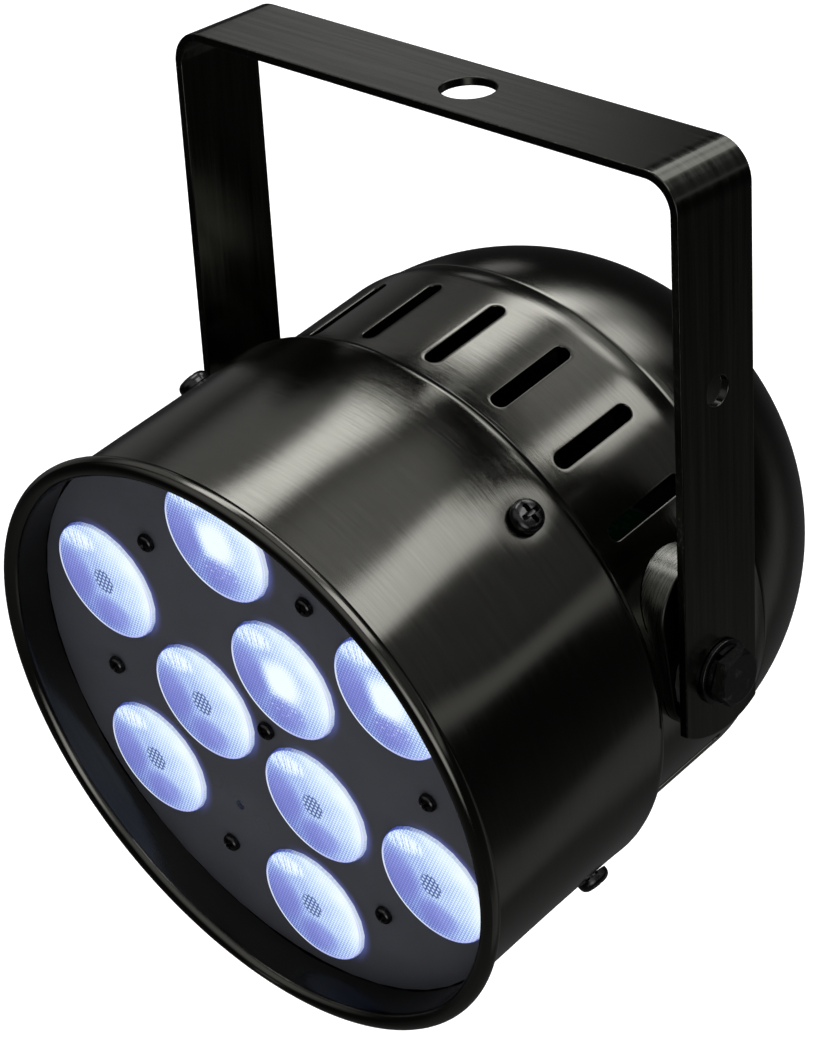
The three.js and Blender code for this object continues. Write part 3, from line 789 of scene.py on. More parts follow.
@dataclass(frozen=True)
class CircuitLacquer(Finish):
    """Lacquered circuit board with copper runs under the lacquer and dark parts on it."""

    lacquer: Colour = (0.01, 0.11, 0.04)

    def shader(self, tree: Tree) -> Value:
        """Straight runs and pads on a square grid, lighter than the ground between them."""
        place = tree.place()
        cells = tree.node("ShaderNodeTexVoronoi", {"distance": "CHEBYCHEV", "feature": "F1"},
                          {"Vector": place, "Scale": 330.0, "Randomness": 0.55}, out="Distance")
        runs = (cells % 0.22).under(0.07)
        grain = tree.noise(place, 500.0, 2.0)
        light = tuple(min(1.0, part * 1.7 + 0.01) for part in self.lacquer)
        return tree.node("ShaderNodeBsdfPrincipled", sockets={
            "Base Color": tree.blend(runs, self.lacquer, light),
            "Roughness": grain.ramp(0.3, 0.7, 0.28, 0.42),
            "Normal": tree.bump(runs * 0.6 + grain * 0.4, 0.00006, 0.3),
        }, out="BSDF")


@dataclass(frozen=True)
class Moulding(Finish):
    """Moulded plastic or fibre with a spark-worn grain."""

    tone: Colour = (0.012, 0.012, 0.012)
    roughness: float = 0.45
    grain: float = 1100.0

    def shader(self, tree: Tree) -> Value:
        """A fine grain in height and gloss, and a slight mottle in the colour."""
        fine = tree.noise(tree.place(), self.grain, 3.0, 0.6)
        mottle = tree.noise(tree.place(), 90.0, 3.0)
        light = tuple(part * 1.7 + 0.004 for part in self.tone)
        return tree.node("ShaderNodeBsdfPrincipled", sockets={
            "Base Color": tree.shades(fine * 0.4 + mottle * 0.6, (0.35, self.tone), (0.7, light)),
            "Roughness": fine.ramp(0.3, 0.7, self.roughness * 0.85, self.roughness * 1.2),
            "Normal": tree.bump(fine, 0.00008, 0.35),
        }, out="BSDF")


@dataclass(frozen=True)
class DisplayGlass(Finish):
    """Dark window over four seven-bar digits, of which some bars are lit."""

    can: Axes
    middle_up: float = 24.5
    digits: tuple[str, ...] = ("bcef", "abcdef", "abcdef", "bc")
    pitch: float = 5.6

    def shader(self, tree: Tree) -> Value:
        """Each bar is a thin box: lit where the point is inside it, in a slanted digit's own coordinates."""
        space = CanSpace(tree, self.can)
        up = space.up - self.middle_up
        left = space.x * -1.0 + up * -0.08
        half, tall, thin = 1.35, 2.5, 0.32
        bars = {"a": (0.0, tall, True), "g": (0.0, 0.0, True), "d": (0.0, -tall, True),
                "f": (-half, tall / 2, False), "b": (half, tall / 2, False),
                "e": (-half, -tall / 2, False), "c": (half, -tall / 2, False)}
        lit: Value | None = None
        for index, shown in enumerate(self.digits):
            centre = (index - (len(self.digits) - 1) / 2) * self.pitch
            for letter in shown:
                across, above, level = bars[letter]
                wide, high = (half - 0.3, thin) if level else (thin, tall / 2 - 0.3)
                past = (abs(left - (centre + across)) / wide).most(abs(up - above) / high)
                inside = past.ramp(0.9, 1.1, 1.0, 0.0)
                lit = inside if lit is None else lit.most(inside)
        smear = tree.noise(tree.place(), 120.0, 3.0)
        return tree.node("ShaderNodeBsdfPrincipled", sockets={
            "Base Color": tree.shades(smear, (0.3, (0.006, 0.002, 0.002)), (0.8, (0.016, 0.008, 0.008))),
            "Roughness": smear.ramp(0.3, 0.8, 0.06, 0.16),
            "Emission Color": tree.blend(lit, (0.004, 0.0, 0.0), (1.0, 0.05, 0.02)),
            "Emission Strength": 1.0,
        }, out="BSDF")


# ---- Sub-assemblies -------------------------------------------------------------------------
@dataclass
class Shells:
    """Front barrel with its rolled rim, slotted vent band and rear dome."""

    can: Axes
    finish: Finish
    rim: float
    sheet: float = 1.2
    barrel: float = 95.4
    bead: float = 2.9
    rim_front: float = 105.4
    barrel_rear: float = 20.0
    band: float = 89.8
    band_rear: float = -33.0
    gap: float = 0.3
    tuck_depth: float = 1.6
    tuck_length: float = 8.0
    flange: float = 18.0
    spigot: float = 7.0
    dome_depth: float = 86.0
    dome_radius: float = 88.6
    dome_centre: float = -24.3
    back: float = -97.0
    back_opening: float = 38.0
    slots: int = 22
    slot_width: float = 5.5
    slot_length: float = 32.5
    slot_middle: float = -3.4
    pad_half: float = 38.0
    screw_angles: tuple[float, ...] = (45.0, 135.0, 225.0, 315.0)
    screw_ahead: float = 36.4
    screw_seat: float = 95.7
    screw_sizes: tuple[float, float, float, float] = (5.2, 3.4, 2.4, 6.0)
    dent: float = 0.55
    dent_size: float = 8.5
    ripple: float = 0.16

    def ripples(self, angle: Array, radius: Array, ahead: Array) -> Array:
        """Slow unevenness of a hand-spun shell: a sum of sines round it and along it.

        Args:
            angle: Angle round the can, in radians.
            radius: Distance from the can's axis.
            ahead: Place along the can.

        Returns:
            What is added to the radius.
        """
        wave = (np.sin(5 * angle + 0.035 * ahead) + 0.8 * np.sin(8 * angle - 0.05 * ahead + 1.3)
                + 0.6 * np.sin(13 * angle + 0.07 * ahead + 4.0))
        return self.ripple * wave * np.exp(-((ahead - 60) / 75) ** 4) * (radius < self.rim - 4)

    def dented(self, angle: Array, radius: Array, ahead: Array) -> Array:
        """The ripples, and a shallow dent round each screw: depth times exp of minus distance squared.

        Args:
            angle: Angle round the can, in radians.
            radius: Distance from the can's axis.
            ahead: Place along the can.

        Returns:
            What is added to the radius.
        """
        fall = self.ripples(angle, radius, ahead)
        for place in self.screw_angles:
            turn = (angle - math.radians(place) + math.pi) % math.tau - math.pi
            away = (turn * self.barrel) ** 2 + (ahead - self.screw_ahead) ** 2
            fall = fall - self.dent * np.exp(-away / self.dent_size ** 2)
        return fall

    def front_barrel(self) -> None:
        """Straight wall turned in over the band at the rear and rolled into a bead at the front."""
        lip = self.band + self.gap
        shoulder = self.barrel - lip
        middle = self.rim - self.bead
        under = 180 + math.degrees(math.acos((middle - self.barrel) / self.bead))
        outside = np.concatenate([
            arc(lip, self.barrel_rear + shoulder, shoulder, -90, 0, 10),
            arc(middle, self.rim_front - self.bead, self.bead, under - 360, 180, 36),
        ])
        inside = arc(lip, self.barrel_rear + shoulder, shoulder - self.sheet, 0, -90, 8)
        profile = finer(np.concatenate([outside, inside]), 1.6)
        shape = turned(profile, full_turn(360), self.dented)
        Body(self.can).grid(shape, looped=True).finish(
            "front_barrel_shell", "can", self.finish.slot, ["front_barrel"], self.finish.material())

    def vent_band(self) -> None:
        """Band with slots all round, but not behind the pivot pads, and a turned flange at each end.

        Each pitch is a rectangle of arc length by length along the can, with or without a slot, and
        is wrapped on a cylinder: angle = arc length over radius, radius = band less depth.
        """
        across, along = 18, 22
        half_pitch = math.pi * self.band / self.slots
        half_long = self.slot_length / 2 + 4.8
        hole = Hole(self.slot_width / 2, (self.slot_length - self.slot_width) / 2, half_pitch, half_long,
                    across, along)
        slotted = hole.through(self.sheet, 0.35)
        a, b = np.meshgrid(np.linspace(-half_pitch, half_pitch, across + 1),
                           np.linspace(-half_long, half_long, along + 1), indexing="ij")
        covered = (self.pad_half + self.slot_width) / self.band
        shell = Body(self.can)
        for index in range(self.slots):
            centre = math.radians(90 + (index + 0.5) * 360 / self.slots)
            open_here = abs(math.sin(centre)) > covered
            plain = [np.stack([a, b, np.full_like(a, depth)], axis=-1) for depth in (0.0, self.sheet)]
            for patch in [slotted] if open_here else plain:
                angle = centre + patch[..., 0] / self.band
                radius = self.band - patch[..., 2]
                points = np.stack([radius * np.cos(angle), radius * np.sin(angle),
                                   self.slot_middle + patch[..., 1]], axis=-1)
                shell.grid(points, around=open_here)
        angles = full_turn(self.slots * across, 90)
        for profile in self.band_ends(half_long):
            shell.grid(turned(profile, angles))
        shell.finish("vent_band_shell", "can", self.finish.slot, ["vent_band"], self.finish.material())

    def band_ends(self, half_long: float) -> tuple[Array, Array]:
        """Profiles of the band's rear end, tucked in at the seam, and of its flange inside the barrel.

        Args:
            half_long: Half the length of the slotted part.

        Returns:
            Two open profiles that start on the outer face and end on the inner one.
        """
        low, high = self.slot_middle - half_long, self.slot_middle + half_long
        share = np.linspace(0, 1, 10)
        start = self.band_rear + self.tuck_length
        tuck = np.column_stack([self.band - self.tuck_depth * (1 - np.cos(share * math.pi / 2)),
                                start - share * self.tuck_length])
        reach = (self.band_rear - self.spigot - self.dome_centre) / (self.dome_depth - self.sheet)
        spigot = (self.dome_radius - self.sheet) * math.sqrt(1 - reach ** 2) - self.gap
        rear = np.concatenate([
            [[self.band, low]], tuck, [[spigot, self.band_rear], [spigot, self.band_rear - self.spigot],
            [spigot - self.sheet, self.band_rear - self.spigot], [spigot - self.sheet, self.band_rear + 1]],
            tuck[::-1] - [self.sheet, 0], [[self.band - self.sheet, low]]])
        outer = self.barrel - self.sheet - self.gap
        step = outer - self.band
        place = self.barrel_rear + self.sheet + step + 0.8
        front = np.concatenate([
            [[self.band, high]], arc(self.band, place, step, -90, 0, 8), [[outer, place + self.flange],
            [outer - self.sheet, place + self.flange]],
            arc(self.band, place, step - self.sheet, 0, -90, 8), [[self.band - self.sheet, high]]])
        return finer(rear, 2.0), finer(front, 2.0)

    def rear_dome(self) -> None:
        """Half oval with a small rounded lip at the seam and a flat back round the panel's opening."""
        front = self.band_rear - self.gap

        def oval(inset: float, first: float, last: float) -> Array:
            """The oval inset by a wall, between two places along the can.

            Args:
                inset: Thickness of the wall.
                first: Place of the first point.
                last: Place of the last point.

            Returns:
                Points of radius and place.
            """
            depth, radius = self.dome_depth - inset, self.dome_radius - inset
            ends = [math.degrees(math.asin((place - self.dome_centre) / depth)) for place in (first, last)]
            return arc(0, 0, 1, ends[0], ends[1], 72) * [radius, depth] + [0, self.dome_centre]

        lip = 0.45
        outside = oval(0, front - lip, self.back)
        inside = oval(self.sheet, self.back + self.sheet, front - lip)
        seam = outside[0] - [lip, 0]
        rolled = arc(seam[0], seam[1], lip, 90, 0, 4)
        flat = [[self.back_opening, self.back], [self.back_opening, self.back + self.sheet]]
        profile = np.concatenate([rolled, outside[1:], flat, inside, [[inside[-1][0], front]]])
        shape = turned(finer(profile, 2.5), full_turn(300), self.ripples)
        Body(self.can).grid(shape, looped=True).finish(
            "rear_dome_shell", "can", self.finish.slot, ["rear_dome"], self.finish.material())

    def fasten(self, screws: Screws) -> None:
        """Puts in the screws that hold the barrel to the band.

        Args:
            screws: Maker of the screws.
        """
        for index, angle in enumerate(self.screw_angles, 1):
            turn = math.radians(angle)
            out = (math.cos(turn), math.sin(turn), 0.0)
            seat = self.can.at(self.screw_seat * out[0], self.screw_seat * out[1], self.screw_ahead)
            screws.put(f"barrel_screw_{index}", seat.facing((0, 0, 1), out), self.screw_sizes)

    def build(self) -> None:
        """Builds the three shells."""
        self.front_barrel()
        self.vent_band()
        self.rear_dome()
        LOG.info("shells: barrel, vent band and dome round a rim of %.1f mm", self.rim)


@dataclass
class Screws:
    """Pan-head screws with a cross recess."""

    finish: Finish

    def head(self, radius: float, height: float, shank: float, length: float) -> Array:
        """A pan head with a cross sunk in it: height less the cross, over a round shank.

        The top is a flat dome, height times the fourth root of 1 - (r/R)^4; the cross is two tapered
        bars whose floor rises from the middle to their ends.

        Args:
            radius: Of the head.
            height: Of the head.
            shank: Radius of the shank.
            length: Of the shank.

        Returns:
            A grid from the middle of the head to the tip of the shank.
        """
        angles = full_turn(96)
        share = np.sin(np.linspace(0, math.pi / 2, 44))[:, None] + 0 * angles
        x, y = share * np.cos(angles), share * np.sin(angles)
        top = height * (1 - share ** 4) ** 0.5 * 0.78 + height * 0.22 * (share < 1)
        bar = np.minimum(np.maximum(abs(x) / 0.13, abs(y) / 0.56), np.maximum(abs(y) / 0.13, abs(x) / 0.56))
        sunk = np.clip((1.12 - bar) / 0.24, 0, 1) * (0.75 - 0.5 * share) * height
        face = np.stack([radius * x, radius * y, top - sunk], axis=-1)
        under = turned(np.array([[radius, 0], [shank, 0], [shank, -length], [0, -length]]), angles)
        return np.concatenate([face, under])

    def put(self, name: str, axes: Axes, sizes: tuple[float, float, float, float]) -> None:
        """Builds one screw that stands for its CAD node.

        Args:
            name: The CAD node's name.
            axes: At the seat of the head, with z outwards.
            sizes: Radius and height of the head, radius and length of the shank.
        """
        Body(axes).grid(self.head(*sizes)).finish(
            name + "_turned", "can", self.finish.slot, [name], self.finish.material(), crease=30)


@dataclass
class LampFace:
    """Lamp plate with its nine lit lenses and seven screws."""

    can: Axes
    screws: Screws
    plate_front: float = 91.3
    plate_thickness: float = 1.5
    gap: float = 0.3
    radius: float = 20.3
    proud: float = 1.0
    edge: float = 0.7
    crown: float = 0.15
    lip: float = 1.3
    lip_thickness: float = 1.6
    draft: float = 1.5
    rear: float = 73.5
    rear_radius: float = 7.0
    outer_ring: float = 68.6
    inner_ring: float = 27.1
    screw_ring: float = 66.3
    first: float = 152.0
    sensor: tuple[float, float] = (-23.0, -40.0)
    sensor_ring: float = 3.0
    stamped: tuple[tuple[float, float, float], ...] = ((-32.6, -34.3, 3.2), (-14.5, -44.3, 3.2))
    screw_sizes: tuple[float, float, float, float] = (3.0, 2.1, 1.5, 18.0)
    bright: tuple[int, ...] = (2, 3, 7)

    @staticmethod
    def ring(radius: float, start: float, step: float, count: int) -> list[tuple[float, float]]:
        """Places on a circle, at even steps clockwise from a first angle."""
        angles = [math.radians(start - step * index) for index in range(count)]
        return [(radius * math.cos(angle), radius * math.sin(angle)) for angle in angles]

    def places(self) -> list[tuple[float, float]]:
        """Centres of the six outer and the three inner lenses."""
        inner = self.ring(self.inner_ring, self.first - 90, 120, 3)
        return self.ring(self.outer_ring, self.first, 60, 6) + inner

    def lens(self) -> Array:
        """Flat face with a rounded rim, a lip behind the plate and a cone to the chip.

        Returns:
            A grid from the middle of the face to the middle of the small end.
        """
        face = self.plate_front + self.proud
        back = self.plate_front - self.plate_thickness - self.gap
        seat, lip = back - self.lip_thickness, self.radius + self.lip
        profile = np.concatenate([
            [[0, face], [self.radius * 0.5, face + self.crown]],
            arc(self.radius - self.edge, face - self.edge, self.edge, 90, 0, 6),
            [[self.radius, back], [lip, back], [lip, seat], [self.radius - self.draft, seat]],
            [[self.rear_radius, self.rear], [0, self.rear]]])
        return turned(finer(profile, 2.5), full_turn(96))

    def build(self) -> None:
        """Builds the lenses and screws and dresses the plate."""
        shape = self.lens()
        for index, (across, up) in enumerate(self.places(), 1):
            heart = Heart.FLARE if index in self.bright else Heart.CELLS
            finish = LitLens(f"lens_{heart.value}", "lens_lit", heart, self.radius)
            lens = Body(self.can.at(across, up, 0)).grid(shape, spots=shape).finish(
                f"lens_{index}_lit", "can", finish.slot, [f"lens_{index}"], finish.material())
            lens.visible_glossy = False
        places = self.ring(self.screw_ring, self.first - 30, 60, 6) + [(0.0, 0.0)]
        for index, (across, up) in enumerate(places, 1):
            seat = self.can.at(across, up, self.plate_front + self.gap)
            turn = math.radians(40 * index)
            aim = seat.facing((math.cos(turn), math.sin(turn), 0), (0, 0, 1))
            self.screws.put(f"plate_screw_{index}", aim, self.screw_sizes)
        marks = (*self.stamped, (*self.sensor, self.sensor_ring))
        lenses = tuple(self.places())
        paint = PlatePaint("plate_powder_coat", "plate_grey", self.can, lenses, self.radius, marks)
        paint.dress("lamp_plate")
        LOG.info("lamp face: %d lenses, %d screws", len(self.places()), len(places))


@dataclass
class Yoke:
    """Strap bent twice into a bar and two arms, with rounded ends and its four holes."""

    middle: Axes
    finish: Finish
    width: float
    top: float
    thickness: float = 2.8
    bend: float = 11.6
    outside: float = 99.0
    below: float = 20.4
    end_radius: float = 29.0
    clamp_radius: float = 8.3
    clamp_across: float = 8.5
    arm_hole: float = 4.6
    arm_hole_up: float = 91.2
    bolt_hole: float = 5.3
    columns: int = 16

    def strap(self, along: Array, across: Array, depth: Array) -> Array:
        """A point of the strap: up one arm, round the bend, along the bar, and down the other arm.

        The distance along runs on the outer face from one arm's height 0 at the tilt axis. In a bend,
        the point lies at the bend's radius less the depth, at the angle of the distance over the radius.

        Args:
            along: Distance from the middle of the bar on the outer face, towards +X.
            across: Distance across the strap.
            depth: Distance under the outer face.

        Returns:
            Points with x, y and z last.
        """
        flat = self.outside - self.bend
        past = np.clip(abs(along) - flat, 0, self.bend * math.pi / 2)
        turn = past / self.bend
        down = np.maximum(abs(along) - flat - self.bend * math.pi / 2, 0)
        level = np.minimum(abs(along), flat)
        reach = self.bend - depth
        x = level + reach * np.sin(turn)
        z = self.top - self.bend + reach * np.cos(turn) - down
        return np.stack([np.sign(along) * x, across, z], axis=-1)

    def arm_at(self, height: float) -> float:
        """Distance from the middle of the bar to a height on an arm."""
        return self.outside - self.bend + self.bend * math.pi / 2 + self.top - self.bend - height

    def build(self) -> None:
        """Joins plain and drilled lengths of strap from one round end to the other."""
        half = self.width / 2
        strap = Body(self.middle)
        drilled = [(self.clamp_across, self.clamp_radius),
                   (Side.RIGHT.value * self.arm_at(self.arm_hole_up), self.arm_hole),
                   *[(side.value * self.arm_at(0.0), self.bolt_hole) for side in Side]]
        reach = half - 1.5
        stops = sorted([(place - reach, place + reach, radius) for place, radius in drilled])
        across = np.linspace(-half, half, self.columns + 1)
        end_z = self.end_radius - self.below - np.sqrt(self.end_radius ** 2 - across ** 2)
        last = np.array([self.arm_at(z) for z in end_z])
        between = [np.full_like(across, value) for low, high, _ in stops for value in (low, high)]
        edges = [-last, *between, last]
        for index in range(0, len(edges), 2):
            self.plain(strap, edges[index], edges[index + 1], across)
        for low, high, radius in stops:
            hole = Hole(radius, 0.0, reach, half, self.columns, self.columns)
            patch = hole.through(self.thickness, 0.0, 5)
            strap.grid(self.strap(patch[..., 0] + (low + high) / 2, patch[..., 1], patch[..., 2]))
            along = np.linspace(low, high, self.columns + 1)
            self.sides(strap, along[:, None], half)
        for edge in (edges[0], edges[-1]):
            depth = np.array([0.0, self.thickness])[:, None]
            strap.grid(self.strap(edge + 0 * depth, across + 0 * depth, depth + 0 * across), around=False)
        strap.finish("yoke_strap", "yoke", self.finish.slot, ["yoke"], self.finish.material(),
                     crease=50, bevel=0.45)
        LOG.info("yoke: strap %.0f mm wide, bar %.1f mm above the tilt axis", self.width, self.top)

    def plain(self, strap: Body, start: Array, end: Array, across: Array) -> None:
        """A length of strap with no hole, between two lines across it.

        Args:
            strap: The body it joins.
            start: Distance along of the first line, at each place across.
            end: Distance along of the last line.
            across: Places across the strap.
        """
        flat = self.outside - self.bend
        length = float(np.max(end - start))
        low, high = float(np.max(start)), float(np.min(end))
        turns = self.bend * np.linspace(0, math.pi / 2, 17)
        bends = [sign * (flat + turn) for sign in (-1, 1) for turn in turns]
        inside = [(place - low) / (high - low) for place in bends if low < place < high]
        share = np.unique(np.round([*np.linspace(0, 1, max(2, int(length / 4))), *inside], 7))[:, None]
        along = start + (end - start) * share
        for depth in (0.0, self.thickness):
            strap.grid(self.strap(along, across + 0 * along, depth + 0 * along), around=False)
        for column, place in ((0, -self.width / 2), (-1, self.width / 2)):
            depth = np.array([0.0, self.thickness])
            line = along[:, column][:, None]
            flat_grid = (line + 0 * depth, place + 0 * line + 0 * depth, depth + 0 * line)
            strap.grid(self.strap(*flat_grid), around=False)

    def sides(self, strap: Body, along: Array, half: float) -> None:
        """The two cut edges beside a drilled length.

        Args:
            strap: The body they join.
            along: Distances along, one per row.
            half: Half the strap's width.
        """
        depth = np.array([0.0, self.thickness])
        for place in (-half, half):
            flat_grid = (along + 0 * depth, place + 0 * along + 0 * depth, depth + 0 * along)
            strap.grid(self.strap(*flat_grid), around=False)


@dataclass
class TiltHardware:
    """Pivot pads on the vent band, and the bolts and washers that clamp the arms to them."""

    can: Axes
    bolt_finish: Finish
    pad_finish: Finish
    band: float = 89.8
    gap: float = 0.3
    pad_face: float = 93.6
    pad_half_width: float = 16.0
    pad_above: float = 38.0
    pad_below: float = 20.0
    bolt_radius: float = 5.0
    flats: float = 16.0
    head_seat: float = 102.5
    head_height: float = 3.6
    shank_end: float = 76.8
    washer_seat: float = 99.3
    washer_radius: float = 10.2
    washer_thickness: float = 1.2
    spring_seat: float = 100.8
    spring_radius: float = 8.8
    spring_thickness: float = 1.4
    split: float = 13.0

    def outwards(self, side: Side) -> Axes:
        """Axes at the can's middle with z out through one side and x up."""
        return self.can.facing((0, 1, 0), (side.value, 0, 0))

    def pad(self, side: Side) -> None:
        """A long round-ended pad with a flat face and a back hollowed to fit the band.

        Loops are the outline scaled from its middle, at the face, down the rounded edge and wall, and
        back across the hollow, where the height is the square root of the band's radius squared less
        the distance up squared.

        Args:
            side: Side of the can.
        """
        angle = full_turn(160)
        above, below = self.pad_above - self.pad_half_width, self.pad_below - self.pad_half_width
        out = np.column_stack([np.cos(angle), np.sin(angle)])
        core = np.column_stack([np.where(out[:, 0] > 0, above, -below), 0 * angle])
        edge = 0.8
        rows = []
        middle = np.array([(above - below) / 2, 0.0])
        for share in np.linspace(0, 1, 9):
            flat = middle + share * (core - middle + (self.pad_half_width - edge) * out)
            rows.append((flat, np.full_like(angle, self.pad_face)))
        for turn in np.radians(np.linspace(15, 90, 6)):
            outline = core + (self.pad_half_width - edge + edge * math.sin(turn)) * out
            rows.append((outline, np.full_like(angle, self.pad_face - edge * (1 - math.cos(turn)))))
        outline = core + self.pad_half_width * out
        for share in np.linspace(1, 0, 9):
            flat = middle + share * (outline - middle)
            rows.append((flat, np.sqrt((self.band + self.gap) ** 2 - flat[:, 0] ** 2)))
        grid = np.stack([np.column_stack([flat, height]) for flat, height in rows])
        name = "pivot_pad_" + side.word
        Body(self.outwards(side)).grid(grid).finish(
            name + "_milled", "can", self.pad_finish.slot, [name], self.pad_finish.material())

    def bolt(self, side: Side) -> None:
        """Hexagon head with its corners turned off under a cone, over a round shank.

        The head's radius at an angle is half the flats over the cosine of the angle from the nearest
        flat, and its top edge falls with that radius past the turned circle.

        Args:
            side: Side of the can.
        """
        angle = full_turn(144)
        half = self.flats / 2
        hexagon = half / np.cos((angle + math.pi / 6) % (math.pi / 3) - math.pi / 6)
        crown = half * 0.93
        top = self.head_seat + self.head_height
        fall = (hexagon - crown) * math.tan(math.radians(28))
        rows = [(0 * angle, 0 * angle + top), (0 * angle + crown * 0.9, 0 * angle + top),
                (0 * angle + crown, 0 * angle + top)]
        rows += [(crown + (hexagon - crown) * share, top - fall * share) for share in (0.5, 1.0)]
        side_wall = top - fall - self.head_seat
        rows += [(hexagon, top - fall - side_wall * share) for share in (0.33, 0.66, 1.0)]
        shank = ((self.bolt_radius, self.head_seat), (self.bolt_radius, self.shank_end), (0, self.shank_end))
        rows += [(0 * angle + radius, 0 * angle + height) for radius, height in shank]
        grid = np.stack([np.column_stack([r * np.cos(angle), r * np.sin(angle), z]) for r, z in rows])
        self.part(side, "tilt_bolt_", grid)

    def part(self, side: Side, name: str, grid: Array, around: bool = True, looped: bool = False) -> None:
        """Finishes one piece that turns with a side's bolt.

        Args:
            side: Side of the can.
            name: Start of the CAD node's name.
            grid: The piece's points.
            around: Whether the last column meets the first.
            looped: Whether the last row meets the first.
        """
        Body(self.outwards(side)).grid(grid, around, looped).finish(
            name + side.word + "_turned", "bolt_" + side.word, self.bolt_finish.slot, [name + side.word],
            self.bolt_finish.material(), crease=28)

    def washers(self, side: Side) -> None:
        """A flat washer with rounded edges, and a split spring washer.

        Args:
            side: Side of the can.
        """
        hole = self.bolt_radius + self.gap
        low, high = self.washer_seat, self.washer_seat + self.washer_thickness
        edge = 0.35
        flat = np.concatenate([
            [[hole, low], [hole, high]], arc(self.washer_radius - edge, high - edge, edge, 90, 0, 4),
            [[self.washer_radius, low]]])
        self.part(side, "flat_washer_", turned(flat, full_turn(96)), looped=True)
        low, high = self.spring_seat, self.spring_seat + self.spring_thickness
        ring = np.array([[hole, low], [hole, high], [self.spring_radius, high], [self.spring_radius, low]])
        angles = np.radians(np.linspace(20 + self.split / 2, 380 - self.split / 2, 90))
        coil = turned(ring, angles).transpose(1, 0, 2)
        middle = coil.mean(axis=1, keepdims=True)
        ends = np.concatenate([np.repeat(middle[:1], 4, axis=1), coil, np.repeat(middle[-1:], 4, axis=1)])
        self.part(side, "spring_washer_", ends)

    def build(self) -> None:
        """Builds the hardware of both sides."""
        for side in Side:
            self.pad(side)
            self.bolt(side)
            self.washers(side)
        LOG.info("tilt hardware: pads, bolts and washers on both sides")


